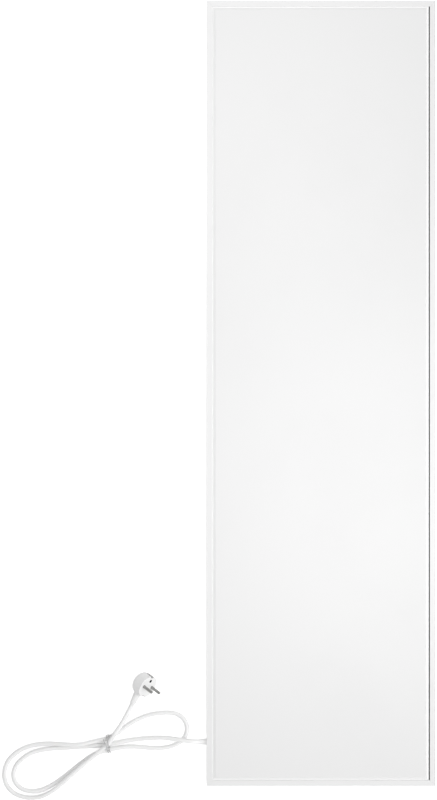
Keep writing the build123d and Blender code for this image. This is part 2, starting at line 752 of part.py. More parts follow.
ring_base = back_inner + washer_thickness
barrel_z = ring_base + ring_barrel_radius
barrel_start = stud_x - ring_neck - ring_barrel_length
with BuildPart() as earth_ring_terminal:
    with BuildSketch(Plane(origin=(stud_x, stud_y, ring_base))):
        Circle(ring_radius)
        with Locations((-ring_neck / 2, 0)):
            Rectangle(ring_neck, 2 * ring_barrel_radius)
        Circle(stud_hole_radius, mode=Mode.SUBTRACT)
    extrude(amount=ring_thickness)
    with BuildSketch(Plane(origin=(barrel_start, stud_y, barrel_z), z_dir=(1, 0, 0))):
        Circle(ring_barrel_radius)
    extrude(amount=ring_barrel_length)
save(earth_ring_terminal, "earth_ring_terminal")

with BuildPart() as earth_nut:
    with BuildSketch(Plane(origin=(stud_x, stud_y, ring_base + ring_thickness))):
        RegularPolygon(nut_across_flats / 2, 6, major_radius=False)
        Circle(stud_hole_radius, mode=Mode.SUBTRACT)
    extrude(amount=nut_height)
save(earth_nut, "earth_nut")

# ---- strain relief: a tapered sleeve snapped into the left rail ----
relief_plane = Plane(origin=(-half_width, gland_y, gland_z), x_dir=(-1, 0, 0), z_dir=(0, 1, 0))
with BuildPart() as strain_relief:
    with BuildSketch(relief_plane):
        with BuildLine():
            Polyline(
                (-relief_barrel_length, relief_bore_radius),
                (-relief_bore_end, relief_bore_radius),
                (-relief_bore_end, 0),
                (relief_reach, 0),
                (relief_reach, relief_tip_radius),
                (relief_flange_thickness, relief_root_radius),
                (relief_flange_thickness, relief_flange_radius - 0.5),
                (relief_flange_thickness - 0.5, relief_flange_radius),
                (0, relief_flange_radius),
                (0, relief_barrel_radius),
                (-relief_barrel_length, relief_barrel_radius),
                close=True,
            )
        make_face()
    revolve(axis=Axis((-half_width, gland_y, gland_z), (1, 0, 0)))
save(strain_relief, "strain_relief")


# ---- tubes along a route of hand-placed points: straight runs joined by tangent arcs ----
def corner_radii(points):
    """The radius at each inner point: as large as its two runs allow."""
    radii = []
    for before, here, after in zip(points, points[1:], points[2:]):
        run_in, run_out = Vector(here) - Vector(before), Vector(after) - Vector(here)
        half_turn = radians(run_in.get_angle(run_out)) / 2
        radii.append(0.45 * min(run_in.length, run_out.length) / tan(half_turn))
    return radii


def swept_tube(points, diameter, name, radii=None):
    """Sweep a round section along the route; prints its length, tightest arc and volume share."""
    radii = radii or corner_radii(points)
    with BuildPart() as tube:
        with BuildLine() as route:
            FilletPolyline(*points, radius=radii)
        path = route.wires()[0]
        with BuildSketch(Plane(origin=path @ 0, z_dir=path % 0)) as section:
            Circle(diameter / 2)
        sweep(path=path)
    share = tube.part.volume / (path.length * section.sketch.area)
    print(f"{name}: length {path.length:.1f}, least radius {min(radii, default=0):.1f}, volume {share:.4f}")
    save(tube, name)
    return path


def least_gap(path, diameter, step=2.0):
    """The least free space between parts of one tube that are far apart along it."""
    count = ceil(path.length / step)
    points = [tuple(path @ (i / count)) for i in range(count + 1)]
    apart = ceil(4 * diameter / step)
    pairs = [(i, j) for i in range(count) for j in range(i + apart, count + 1)]
    return min(dist(points[i], points[j]) for i, j in pairs) - diameter


# ---- wiring inside the panel ----
sheath_x = box_left + sheath_end
with BuildPart() as cord_inner_run:
    with BuildSketch(Plane(origin=(-half_width + relief_bore_end, gland_y, gland_z), z_dir=(1, 0, 0))):
        Circle(cord_diameter / 2)
    extrude(amount=sheath_x + half_width - relief_bore_end)
save(cord_inner_run, "cord_inner_run")

block_left = block_middle - block_length / 2
block_right = block_middle + block_length / 2
core_names = ["supply_core_earth", "supply_core_neutral", "supply_core_live"]
for name, pole, angle in zip(core_names, pole_places, (210, 90, 330)):
    start_y = gland_y + core_circle_radius * cos(radians(angle)) * (1 if angle != 90 else 0)
    start_z = gland_z + core_circle_radius * sin(radians(angle))
    fan = (block_left - sheath_x) / 3
    core_route = [
        (sheath_x, start_y, start_z),
        (sheath_x + fan, start_y, start_z),
        (block_left - fan, pole, gland_z),
        (block_left + core_end_depth, pole, gland_z),
    ]
    swept_tube(core_route, core_diameter, name)

with BuildPart() as lead_to_cutout:
    with BuildSketch(Plane(origin=(block_right - core_end_depth, live_pole, gland_z), z_dir=(1, 0, 0))):
        Circle(core_diameter / 2)
    extrude(amount=cutout_x - cutout_blade_reach - block_right + core_end_depth)
save(lead_to_cutout, "lead_to_cutout")

bend = 5.0  # bend radius of the single leads
right_lead_route = [
    (cutout_x + cutout_blade_reach, live_pole, gland_z),
    (turn_x, live_pole, gland_z),
    (turn_x, lead_line, gland_z),
    (busbar_spacing / 2, lead_line, gland_z),
    (busbar_spacing / 2, lead_line, busbar_back),
]
swept_tube(right_lead_route, core_diameter, "lead_to_right_busbar", [bend] * 3)
left_lead_route = [
    (block_right - core_end_depth, neutral_pole, gland_z),
    (box_right + 10, neutral_pole, gland_z),
    (box_right + 10, lead_line, gland_z),
    (-busbar_spacing / 2, lead_line, gland_z),
    (-busbar_spacing / 2, lead_line, busbar_back),
]
swept_tube(left_lead_route, core_diameter, "lead_to_left_busbar", [bend] * 3)
earth_lead_route = [
    (block_right - core_end_depth, earth_pole, gland_z),
    (box_right + 5, earth_pole, gland_z),
    (barrel_start - 7, stud_y, barrel_z),
    (barrel_start, stud_y, barrel_z),
]
swept_tube(earth_lead_route, core_diameter, "earth_lead")

# ---- plug: a round moulded body lying on its back edge, pins up, its neck towards the bundle ----
plug_face = Vector(-264.5, -449.0, 23.65)
pin_way = Vector(0.669, -0.457, 0.586).normalized()
neck_lean = Vector(-0.38, -0.91, -0.15)
neck_way = (neck_lean - pin_way * neck_lean.dot(pin_way)).normalized()
across = pin_way.cross(neck_way)
face_plane = Plane(origin=plug_face, x_dir=neck_way, z_dir=pin_way)
side_plane = Plane(origin=plug_face, x_dir=neck_way, z_dir=-across)
neck_axis = plug_face - pin_way * plug_neck_depth
neck_plane = Plane(origin=neck_axis, x_dir=neck_way, z_dir=-across)
neck_end = neck_axis + neck_way * plug_reach


def neck_profile():
    """The neck's outline from its root to its tip, with shallow ring grooves near the tip."""
    slope = (plug_neck_tip_radius - plug_neck_root_radius) / (plug_reach - plug_neck_start)
    outline = [(plug_neck_start, 0), (plug_neck_start, plug_neck_root_radius)]
    for rib in range(plug_rib_count):
        start = plug_reach - 2 - (plug_rib_count - rib) * plug_rib_pitch
        for x, depth in ((start, 0), (start, 1), (start + plug_rib_width, 1), (start + plug_rib_width, 0)):
            radius = plug_neck_root_radius + slope * (x - plug_neck_start)
            outline.append((x, radius - depth * plug_rib_depth))
    outline += [(plug_reach, plug_neck_tip_radius), (plug_reach, 0)]
    return outline


crown_angle = degrees(asin(plug_face_radius / plug_crown_radius))
with BuildPart() as plug_body:
    with BuildSketch(side_plane) as plug_profile:
        with BuildLine():
            crown = CenterArc((0, plug_crown_radius - plug_height), plug_crown_radius, 270, crown_angle)
            Polyline(crown @ 1, (plug_face_radius, 0), (0, 0), crown @ 0)
        make_face()
        shoulder, edge = plug_profile.vertices().group_by(Axis.X)[-1].sort_by(Axis.Y)
        fillet(shoulder, radius=plug_shoulder_radius)
        fillet(edge, radius=plug_edge_radius)
    revolve(axis=Axis(plug_face, pin_way))
    with BuildSketch(neck_plane):
        with BuildLine():
            Polyline(*neck_profile(), close=True)
        make_face()
    revolve(axis=Axis(neck_axis, neck_way))
    for side, recess_length in recess_lengths.items():
        with BuildSketch(face_plane):
            with Locations((side * (recess_floor + recess_width / 2), 0)):
                Rectangle(recess_width, recess_width)
        extrude(amount=-recess_length, mode=Mode.SUBTRACT)
    with BuildSketch(face_plane):
        with Locations((0, -pin_spacing / 2), (0, pin_spacing / 2)):
            Circle(pin_diameter / 2 + pin_clearance)
    extrude(amount=-pin_seat, mode=Mode.SUBTRACT)
    with BuildSketch(face_plane):
        with Locations((-socket_place, 0)):
            Circle(socket_radius)
    extrude(amount=-socket_depth, mode=Mode.SUBTRACT)
save(plug_body, "plug_body")
print("plug's lowest point", round(plug_body.part.bounding_box().min.Z, 2))

with BuildPart() as plug_pins:
    with BuildSketch(face_plane.offset(-pin_seat)):
        with Locations((0, -pin_spacing / 2), (0, pin_spacing / 2)):
            Circle(pin_diameter / 2)
    extrude(amount=pin_seat + pin_length)
    tips = plug_pins.faces().sort_by(Axis(plug_face, pin_way))[-2:]
    fillet(tips.edges(), radius=pin_diameter / 2 - 0.3)
save(plug_pins, "plug_pins")

with BuildPart() as plug_earth_clips:
    with BuildSketch(side_plane):
        for side, recess_length in recess_lengths.items():
            near, far = side * recess_floor, side * (recess_floor + clip_thickness)
            bow = side * clip_bow
            with BuildLine():
                Polyline((far, -1), (near, -1), (near, 0.5 - recess_length), (far, 0.5 - recess_length))
                ThreePointArc((far, 0.5 - recess_length), (far + bow, -recess_length / 2), (far, -1))
            make_face()
    extrude(amount=clip_width / 2, both=True)
save(plug_earth_clips, "plug_earth_clips")

# ---- mains lead outside the panel: exit, tied bundle of three loops, and lead to the plug ----
# Each route is a list of points placed by hand along the real cord. In the tie three strands lie side by
# side on the surface and the last one crosses over them.
relief_end = (-half_width - relief_reach, gland_y, gland_z)
panel_lead_route = [
    relief_end,
    (relief_end[0] - 12, gland_y, gland_z),
    (-216.5, -530.2, 13.8),
    (-237.0, -527.4, 11.2),
    (-259.0, -527.6, 6.8),
    (-281.0, -530.0, 4.2),
    (-303.0, -533.2, 4.8),
]
hank_route = [
    (-325.0, -538.2, 5.4),
    (-344.0, -539.8, 5.0),
    (-372.0, -542.2, 3.6),
    (-400.0, -543.8, 3.5),
    (-424.0, -545.5, 3.5),
    (-444.5, -551.5, 3.5),
    (-460.3, -563.0, 3.5),
    (-469.3, -577.8, 3.5),
    (-468.5, -593.8, 3.5),
    (-458.3, -606.5, 3.5),
    (-441.3, -611.2, 3.5),
    (-422.0, -606.5, 3.5),
    (-401.0, -594.0, 3.5),
    (-380.0, -577.0, 3.5),
    (-360.5, -561.5, 3.7),
    (-342.5, -550.8, 4.8),
    (-323.0, -546.2, 5.4),
    (-304.0, -542.2, 4.4),
    (-282.0, -541.4, 3.5),
    (-259.0, -544.2, 3.5),
    (-237.5, -543.8, 3.5),
    (-220.5, -538.4, 3.5),
    (-208.5, -528.8, 3.5),
    (-203.8, -514.5, 3.5),
    (-208.0, -500.2, 3.5),
    (-220.3, -490.3, 3.5),
    (-241.0, -489.2, 3.5),
    (-265.5, -493.0, 3.5),
    (-290.0, -504.0, 3.5),
    (-308.5, -518.5, 4.4),
    (-327.0, -529.8, 5.4),
    (-346.0, -532.8, 9.0),
    (-369.0, -538.8, 12.4),
    (-394.0, -537.8, 10.2),
    (-420.0, -536.4, 4.6),
    (-445.0, -539.6, 3.5),
    (-466.0, -549.0, 3.5),
    (-480.5, -563.5, 3.5),
    (-486.0, -581.0, 3.5),
    (-483.5, -598.5, 3.5),
    (-472.3, -612.8, 3.5),
    (-454.5, -620.0, 3.5),
    (-432.5, -620.3, 5.2),
    (-411.5, -610.0, 9.8),
    (-392.5, -593.6, 12.0),
    (-373.0, -576.5, 11.9),
    (-354.5, -560.5, 12.1),
    (-340.0, -549.2, 12.9),
    (-326.5, -538.0, 13.8),
]
plug_lead_route = [
    (-315.5, -521.5, 15.0),
    (-304.5, -505.5, 13.2),
    tuple(neck_end + neck_way * 13),
    tuple(neck_end),
]


def between(start, end, share):
    """The point at a share of the way from one point of a route to the next."""
    return tuple(Vector(start) + (Vector(end) - Vector(start)) * share)


hank_start = between(panel_lead_route[-1], hank_route[0], 0.5)
hank_end = between(hank_route[-1], plug_lead_route[0], 0.5)
panel_path = swept_tube([*panel_lead_route, hank_start], cord_diameter, "cord_panel_lead")
hank_path = swept_tube([hank_start, *hank_route, hank_end], cord_diameter, "cord_hank")
plug_path = swept_tube([hank_end, *plug_lead_route], cord_diameter, "cord_plug_lead")
print("least gap between the bundle's strands", round(least_gap(hank_path, cord_diameter), 2))
print("length of the free lead", round(panel_path.length + hank_path.length + plug_path.length, 1))

# ---- twist tie: two turns of coated wire round the bundle, with its ends twisted upwards ----
tie_middle = Vector(-325.2, -538.1, 0)
bundle_way = Vector(cos(radians(10)), sin(radians(10)), 0)
tie_side = Vector(-bundle_way.Y, bundle_way.X, 0)


def tie_point(along, side, height):
    """A point given along the bundle, across it and above the surface."""
    return tuple(tie_middle + bundle_way * along + tie_side * side + Vector(0, 0, height))


tie_route = [
    tie_point(-6.2, 10.7, 22.6),
    tie_point(-3.0, -2.0, 21.25),
    tie_point(-2.2, -18.1, 0.85),
    tie_point(-1.2, 19.9, 0.85),
    tie_point(-0.3, 2.0, 21.6),
    tie_point(0.6, -20.0, 0.85),
    tie_point(1.6, 18.7, 0.85),
    tie_point(2.5, 12.2, 10.9),
    tie_point(4.4, 13.6, 14.0),
    tie_point(7.2, 14.6, 18.5),
]
swept_tube(tie_route, tie_diameter, "cord_tie", [4.6] * 6 + [3.0] * 2)
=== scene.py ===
# %% [markdown]
# # An infrared panel heater with its tied mains lead
# The heater is a tall white radiant panel: one folded plate in a frame of four mitred rails. It lies on its
# back, heating face up, with its lead gathered beside it. The solids come ready made as a fixed frame, in
# metres; this script gives them their finishes, remodels what should look soft or moulded, and lights it.

# %% Load the frame
import json
from math import pi, radians

import bmesh
import bpy
from mathutils import Matrix, Vector


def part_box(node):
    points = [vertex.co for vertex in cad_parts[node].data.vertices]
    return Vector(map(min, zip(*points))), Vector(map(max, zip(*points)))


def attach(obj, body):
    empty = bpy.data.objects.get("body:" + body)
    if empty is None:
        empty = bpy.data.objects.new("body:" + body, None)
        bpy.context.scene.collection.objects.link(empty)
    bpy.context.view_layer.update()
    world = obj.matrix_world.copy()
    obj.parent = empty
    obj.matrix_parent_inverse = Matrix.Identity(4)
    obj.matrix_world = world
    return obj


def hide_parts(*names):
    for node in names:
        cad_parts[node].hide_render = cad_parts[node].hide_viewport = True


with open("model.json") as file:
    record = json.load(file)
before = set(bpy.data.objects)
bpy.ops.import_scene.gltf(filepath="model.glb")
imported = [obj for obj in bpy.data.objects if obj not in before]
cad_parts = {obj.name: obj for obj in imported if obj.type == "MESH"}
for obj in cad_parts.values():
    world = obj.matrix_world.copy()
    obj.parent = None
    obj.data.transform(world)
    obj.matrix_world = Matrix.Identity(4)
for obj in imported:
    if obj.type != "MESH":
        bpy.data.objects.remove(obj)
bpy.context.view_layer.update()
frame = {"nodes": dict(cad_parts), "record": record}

nodes = frame["nodes"]
scene = bpy.context.scene

# %% [markdown]
# ## Camera
# The picture looks straight down on the heating face. An orthographic camera would show it so too, but from
# any other side the panel would then look like a drawing. A long lens from far away also keeps the rails'
# sides hidden and the edges parallel. Its focal length follows from how much of the panel one pixel covers.

# %% Camera
photo_height = 800
metres_per_pixel = 0.0015275
eye_height = 6.0
panel_face = 0.026
sensor_height = 36.0
view_middle = (-0.1568, -0.0102)
bpy.ops.object.select_all(action="DESELECT")
bpy.ops.object.camera_add(location=(*view_middle, eye_height), rotation=(0, 0, 0))
camera = bpy.context.object
camera.name = "photo_camera"
camera.data.sensor_fit = "VERTICAL"
camera.data.sensor_height = sensor_height
camera.data.lens = sensor_height * (eye_height - panel_face) / (photo_height * metres_per_pixel)
camera.data.clip_end = 50.0
scene.camera = camera
print("lens", round(camera.data.lens, 1), "mm")

# %% [markdown]
# ## The mains lead
# A round white three-core lead leaves the left rail, runs to the tie, makes a loop to the left, one to the
# right and a wider one to the left, and crosses over the tie to the plug. A physics run could let it fall,
# but hardly into these loops. A real lead bends in one smooth line, so it is a single NURBS curve, whose
# control points were placed one by one along the lead.

# %% Route of the lead
lead_diameter = 0.007
lead_exit = (-0.1855, -0.5333, 0.0132)
panel_run = [
    lead_exit,
    (-0.1975, -0.5333, 0.0132),
    (-0.2165, -0.5302, 0.0138),
    (-0.237, -0.5274, 0.0112),
    (-0.259, -0.5276, 0.0068),
    (-0.281, -0.53, 0.0042),
    (-0.303, -0.5332, 0.0048),
]
inner_left_loop = [
    (-0.325, -0.5382, 0.0054),
    (-0.344, -0.5398, 0.005),
    (-0.372, -0.5422, 0.0036),
    (-0.4, -0.5438, 0.0035),
    (-0.424, -0.5455, 0.0035),
    (-0.4452, -0.5512, 0.0035),
    (-0.4618, -0.563, 0.0035),
    (-0.4714, -0.5778, 0.0035),
    (-0.4708, -0.5938, 0.0035),
    (-0.4598, -0.6067, 0.0035),
    (-0.4413, -0.6112, 0.0035),
    (-0.422, -0.6065, 0.0035),
    (-0.401, -0.594, 0.0035),
    (-0.38, -0.577, 0.0035),
    (-0.3605, -0.5615, 0.0037),
    (-0.3425, -0.5508, 0.0048),
]
right_loop = [
    (-0.323, -0.5462, 0.0054),
    (-0.304, -0.5422, 0.0044),
    (-0.282, -0.5414, 0.0035),
    (-0.259, -0.5442, 0.0035),
    (-0.2375, -0.5438, 0.0035),
    (-0.2205, -0.5384, 0.0035),
    (-0.2085, -0.5288, 0.0035),
    (-0.2038, -0.5145, 0.0035),
    (-0.208, -0.5002, 0.0035),
    (-0.2203, -0.4903, 0.0035),
    (-0.241, -0.4892, 0.0035),
    (-0.2655, -0.493, 0.0035),
    (-0.29, -0.504, 0.0035),
    (-0.3085, -0.5185, 0.0044),
]
outer_left_loop = [
    (-0.327, -0.5298, 0.0054),
    (-0.346, -0.5328, 0.009),
    (-0.369, -0.5388, 0.0124),
    (-0.394, -0.5378, 0.0102),
    (-0.42, -0.5364, 0.0046),
    (-0.445, -0.5396, 0.0035),
    (-0.466, -0.549, 0.0035),
    (-0.4805, -0.5635, 0.0035),
    (-0.486, -0.581, 0.0035),
    (-0.4835, -0.5985, 0.0035),
    (-0.4723, -0.6128, 0.0035),
    (-0.4545, -0.62, 0.0035),
    (-0.4325, -0.6203, 0.0052),
    (-0.4115, -0.61, 0.0098),
    (-0.3925, -0.5936, 0.012),
    (-0.373, -0.5765, 0.0119),
    (-0.3545, -0.5605, 0.0121),
    (-0.34, -0.5492, 0.0129),
    (-0.3265, -0.538, 0.0138),
]
plug_run = [
    (-0.3155, -0.5215, 0.015),
    (-0.3045, -0.5055, 0.0132),
    (-0.29408, -0.48641, 0.00675),
    (-0.28847, -0.47495, 0.00927),
]
lead_points = panel_run + inner_left_loop + right_loop + outer_left_loop + plug_run
print(len(lead_points), "control points")

# %% [markdown]
# The curve gets its thickness from a round bevel. The radius of every point is half the lead's diameter and
# the bevel's depth is one metre, because the two are multiplied; the curve's box is then as wide as the lead.

# %% Lead as one smooth curve
lead_curve = bpy.data.curves.new("mains_lead", "CURVE")
lead_curve.dimensions = "3D"
spline = lead_curve.splines.new("NURBS")
spline.points.add(len(lead_points) - 1)
for point, place in zip(spline.points, lead_points):
    point.co = (*place, 1.0)
    point.radius = lead_diameter / 2
spline.order_u = 3
spline.use_endpoint_u = True
spline.resolution_u = 10
lead_curve.bevel_depth = 1.0
lead_curve.bevel_resolution = 6
lead_curve.use_fill_caps = True
mains_lead = bpy.data.objects.new("mains_lead", lead_curve)
scene.collection.objects.link(mains_lead)
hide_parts("cord_panel_lead", "cord_hank", "cord_plug_lead")
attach(mains_lead, "root")

# %% [markdown]
# ## Shared surface effects
# Painted sheet, moulded plastic and metal all have the same kinds of small irregularity: a fine relief, and
# patches that are a little duller than the rest. The nodes could be repeated in each material, but then a
# change would have to be made many times. Each effect is made once, as a node group with named inputs, and
# every material places it with its own values.


# %% Helpers for node groups
def new_group(name, inputs, outputs):
    """An empty shader node group with the named sockets; returns it with its two end nodes."""
    group = bpy.data.node_groups.new(name, "ShaderNodeTree")
    for socket, kind, value in inputs:
        made = group.interface.new_socket(socket, in_out="INPUT", socket_type=kind)
        if value is not None:
            made.default_value = value
    for socket, kind in outputs:
        group.interface.new_socket(socket, in_out="OUTPUT", socket_type=kind)
    return group, group.nodes.new("NodeGroupInput"), group.nodes.new("NodeGroupOutput")


def node(tree, kind, settings=None, **values):
    """Adds a node, sets its options and the plain values of its input sockets."""
    made = tree.nodes.new(kind)
    for key, value in (settings or {}).items():
        setattr(made, key, value)
    for key, value in values.items():
        made.inputs[key.replace("_", " ")].default_value = value
    return made


# %% [markdown]
# Coats and mouldings have a grain of about a millimetre, over a slow swell. Displacing the mesh by it would
# take millions of faces. It is too shallow to show on an outline, so it is a bump, which only bends the normal
# that the shading uses.

# %% Fine relief: a grain that bends the surface's normal
relief_group, ends_in, ends_out = new_group(
    "fine_relief",
    [
        ("Vector", "NodeSocketVector", None),
        ("Grain per metre", "NodeSocketFloat", 900.0),
        ("Depth", "NodeSocketFloat", 0.1),
        ("Wave", "NodeSocketFloat", 0.3),
    ],
    [("Normal", "NodeSocketVector")],
)
grain = node(relief_group, "ShaderNodeTexNoise", {"noise_dimensions": "3D"}, Detail=3.0, Roughness=0.55)
swell = node(relief_group, "ShaderNodeTexNoise", {"noise_dimensions": "3D"}, Detail=1.0, Scale=60.0)
waved = node(relief_group, "ShaderNodeMath", {"operation": "MULTIPLY"})
total = node(relief_group, "ShaderNodeMath", {"operation": "ADD"})
bump = node(relief_group, "ShaderNodeBump", Distance=0.0004)
relief_group.links.new(ends_in.outputs["Vector"], grain.inputs["Vector"])
relief_group.links.new(ends_in.outputs["Grain per metre"], grain.inputs["Scale"])
relief_group.links.new(ends_in.outputs["Vector"], swell.inputs["Vector"])
relief_group.links.new(swell.outputs["Fac"], waved.inputs[0])
relief_group.links.new(ends_in.outputs["Wave"], waved.inputs[1])
relief_group.links.new(grain.outputs["Fac"], total.inputs[0])
relief_group.links.new(waved.outputs[0], total.inputs[1])
relief_group.links.new(total.outputs[0], bump.inputs["Height"])
relief_group.links.new(ends_in.outputs["Depth"], bump.inputs["Strength"])
relief_group.links.new(bump.outputs["Normal"], ends_out.inputs["Normal"])
print("group", relief_group.name, "has", len(relief_group.nodes), "nodes")

# %% [markdown]
# No coat is quite even: some patches of it are duller and rougher than the rest. A painted image could show
# them, but it would have to be wrapped round every piece. Noise in space runs through all pieces alike, and
# one mask made of it shifts both the colour and the gloss.

# %% Tone drift: slow patches that shift a colour and its gloss
drift_group, ends_in, ends_out = new_group(
    "tone_drift",
    [
        ("Vector", "NodeSocketVector", None),
        ("Color", "NodeSocketColor", (0.8, 0.8, 0.8, 1.0)),
        ("Dull color", "NodeSocketColor", (0.7, 0.7, 0.7, 1.0)),
        ("Patches per metre", "NodeSocketFloat", 9.0),
        ("Amount", "NodeSocketFloat", 0.3),
        ("Gloss from", "NodeSocketFloat", 0.4),
        ("Gloss to", "NodeSocketFloat", 0.5),
    ],
    [("Color", "NodeSocketColor"), ("Roughness", "NodeSocketFloat")],
)
patches = node(drift_group, "ShaderNodeTexNoise", {"noise_dimensions": "3D"}, Detail=4.0, Roughness=0.6)
mask = node(drift_group, "ShaderNodeMapRange", {"interpolation_type": "SMOOTHSTEP"})
mask.inputs["From Min"].default_value = 0.42
mask.inputs["From Max"].default_value = 0.68
share = node(drift_group, "ShaderNodeMath", {"operation": "MULTIPLY"})
blend = node(drift_group, "ShaderNodeMix", {"data_type": "RGBA"})
gloss = node(drift_group, "ShaderNodeMapRange")
drift_group.links.new(ends_in.outputs["Vector"], patches.inputs["Vector"])
drift_group.links.new(ends_in.outputs["Patches per metre"], patches.inputs["Scale"])
drift_group.links.new(patches.outputs["Fac"], mask.inputs["Value"])
drift_group.links.new(mask.outputs["Result"], share.inputs[0])
drift_group.links.new(ends_in.outputs["Amount"], share.inputs[1])
drift_group.links.new(share.outputs[0], blend.inputs["Factor"])
drift_group.links.new(ends_in.outputs["Color"], blend.inputs["A"])
drift_group.links.new(ends_in.outputs["Dull color"], blend.inputs["B"])
drift_group.links.new(mask.outputs["Result"], gloss.inputs["Value"])
drift_group.links.new(ends_in.outputs["Gloss from"], gloss.inputs["To Min"])
drift_group.links.new(ends_in.outputs["Gloss to"], gloss.inputs["To Max"])
drift_group.links.new(blend.outputs["Result"], ends_out.inputs["Color"])
drift_group.links.new(gloss.outputs["Result"], ends_out.inputs["Roughness"])
print("group", drift_group.name, "has", len(drift_group.nodes), "nodes")

# %% [markdown]
# ## Masks that paint a part of a coat
# Some places get another colour than the rest of their piece: painted shade deep in a gap, a painted highlight
# along an edge, and a hole's metal tube darkened with painted shade.
# Each could be a face with a material of its own, but its border would then have to follow the mesh. A mask
# that compares coordinates with limits cuts through any mesh, so each such place is a group of comparisons.


# %% Helpers for masks
def all_hold(tree, limits, tests):
    """Chains comparisons; the node it returns puts out 1 where every one of them holds, and otherwise 0."""
    held = None
    for place, operation, limit in tests:
        test = node(tree, "ShaderNodeMath", {"operation": operation})
        tree.links.new(place, test.inputs[0])
        tree.links.new(limits.outputs[limit], test.inputs[1])
        if held is None:
            held = test
            continue
        both = node(tree, "ShaderNodeMath", {"operation": "MULTIPLY"})
        tree.links.new(held.outputs[0], both.inputs[0])
        tree.links.new(test.outputs[0], both.inputs[1])
        held = both
    return held


def paint_over(material, group, values, turned=None):
    """Lays a mask group over a material's coat, on the piece's own axes or on turned ones."""
    tree = material.node_tree
    shader = tree.nodes["Principled BSDF"]
    coat = shader.inputs["Base Color"].links[0].from_socket
    place = tree.nodes["Texture Coordinate"].outputs["Object"]
    if turned:
        mapping = node(tree, "ShaderNodeMapping", {"vector_type": "TEXTURE"}, **turned)
        tree.links.new(place, mapping.inputs["Vector"])
        place = mapping.outputs["Vector"]
    mask = node(tree, "ShaderNodeGroup", {"node_tree": group})
    for socket, value in values.items():
        mask.inputs[socket].default_value = value
    tree.links.new(place, mask.inputs["Vector"])
    tree.links.new(coat, mask.inputs["Color"])
    tree.links.new(mask.outputs["Color"], shader.inputs["Base Color"])


# %% [markdown]
# ## Painted shade in the gap beside the plate
# The hot plate grows, so it has room along the right-hand rail: a gap of 1.5 mm. Little light reaches into
# such a narrow gap, so the plate's upright edge and the rail's inner side are painted near black there as
# painted shade, which draws a thin black line along that rail. A box of limits finds these faces by their
# place.

# %% Painted gap shade: a mask that paints what lies deep in the gap near black
gap_shade_group, ends_in, ends_out = new_group(
    "painted_gap_shade",
    [
        ("Vector", "NodeSocketVector", None),
        ("Color", "NodeSocketColor", (0.8, 0.8, 0.8, 1.0)),
        ("Shade color", "NodeSocketColor", (0.05, 0.05, 0.05, 1.0)),
        ("From X", "NodeSocketFloat", 0.1635),
        ("To X", "NodeSocketFloat", 0.1663),
        ("Half length", "NodeSocketFloat", 0.59),
        ("Above", "NodeSocketFloat", 0.021),
        ("Below", "NodeSocketFloat", 0.024),
    ],
    [("Color", "NodeSocketColor")],
)
axes = node(gap_shade_group, "ShaderNodeSeparateXYZ")
lengthways = node(gap_shade_group, "ShaderNodeMath", {"operation": "ABSOLUTE"})
painted_dark = node(gap_shade_group, "ShaderNodeMix", {"data_type": "RGBA"})
gap_shade_group.links.new(ends_in.outputs["Vector"], axes.inputs["Vector"])
gap_shade_group.links.new(axes.outputs["Y"], lengthways.inputs[0])
deep = all_hold(
    gap_shade_group,
    ends_in,
    [
        (axes.outputs["X"], "GREATER_THAN", "From X"),
        (axes.outputs["X"], "LESS_THAN", "To X"),
        (lengthways.outputs[0], "LESS_THAN", "Half length"),
        (axes.outputs["Z"], "GREATER_THAN", "Above"),
        (axes.outputs["Z"], "LESS_THAN", "Below"),
    ],
)
gap_shade_group.links.new(deep.outputs[0], painted_dark.inputs["Factor"])
gap_shade_group.links.new(ends_in.outputs["Color"], painted_dark.inputs["A"])
gap_shade_group.links.new(ends_in.outputs["Shade color"], painted_dark.inputs["B"])
gap_shade_group.links.new(painted_dark.outputs["Result"], ends_out.inputs["Color"])
print("group", gap_shade_group.name, "has", len(gap_shade_group.nodes), "nodes")

# %% [markdown]
# ## Painted highlight along the plate's outline
# A thin bright line runs along the plate's outline beside the rails, widest at the right. It is a painted
# highlight: a whiter band of the plate's colour, which also paints over the shade where the plate all but
# touches the rails. A vertex colour would need a row of vertices along the line; this mask finds the band by
# its distance from a middle.

# %% Painted edge highlight: a bright band along the outline of a rectangle
highlight_band_group, ends_in, ends_out = new_group(
    "painted_edge_highlight",
    [
        ("Vector", "NodeSocketVector", None),
        ("Color", "NodeSocketColor", (0.8, 0.8, 0.8, 1.0)),
        ("Highlight color", "NodeSocketColor", (0.98, 0.98, 0.98, 1.0)),
        ("Middle X", "NodeSocketFloat", 0.0),
        ("Half width", "NodeSocketFloat", 0.165),
        ("Half length", "NodeSocketFloat", 0.591),
        ("Band", "NodeSocketFloat", 0.0019),
    ],
    [("Color", "NodeSocketColor")],
)
axes = node(highlight_band_group, "ShaderNodeSeparateXYZ")
centred = node(highlight_band_group, "ShaderNodeMath", {"operation": "SUBTRACT"})
highlight_band_group.links.new(ends_in.outputs["Vector"], axes.inputs["Vector"])
highlight_band_group.links.new(axes.outputs["X"], centred.inputs[0])
highlight_band_group.links.new(ends_in.outputs["Middle X"], centred.inputs[1])
bands = []
for place, limit in ((centred.outputs[0], "Half width"), (axes.outputs["Y"], "Half length")):
    away = node(highlight_band_group, "ShaderNodeMath", {"operation": "ABSOLUTE"})
    start = node(highlight_band_group, "ShaderNodeMath", {"operation": "SUBTRACT"})
    band = node(highlight_band_group, "ShaderNodeMath", {"operation": "GREATER_THAN"})
    highlight_band_group.links.new(place, away.inputs[0])
    highlight_band_group.links.new(ends_in.outputs[limit], start.inputs[0])
    highlight_band_group.links.new(ends_in.outputs["Band"], start.inputs[1])
    highlight_band_group.links.new(away.outputs[0], band.inputs[0])
    highlight_band_group.links.new(start.outputs[0], band.inputs[1])
    bands.append(band)
either = node(highlight_band_group, "ShaderNodeMath", {"operation": "MAXIMUM"})
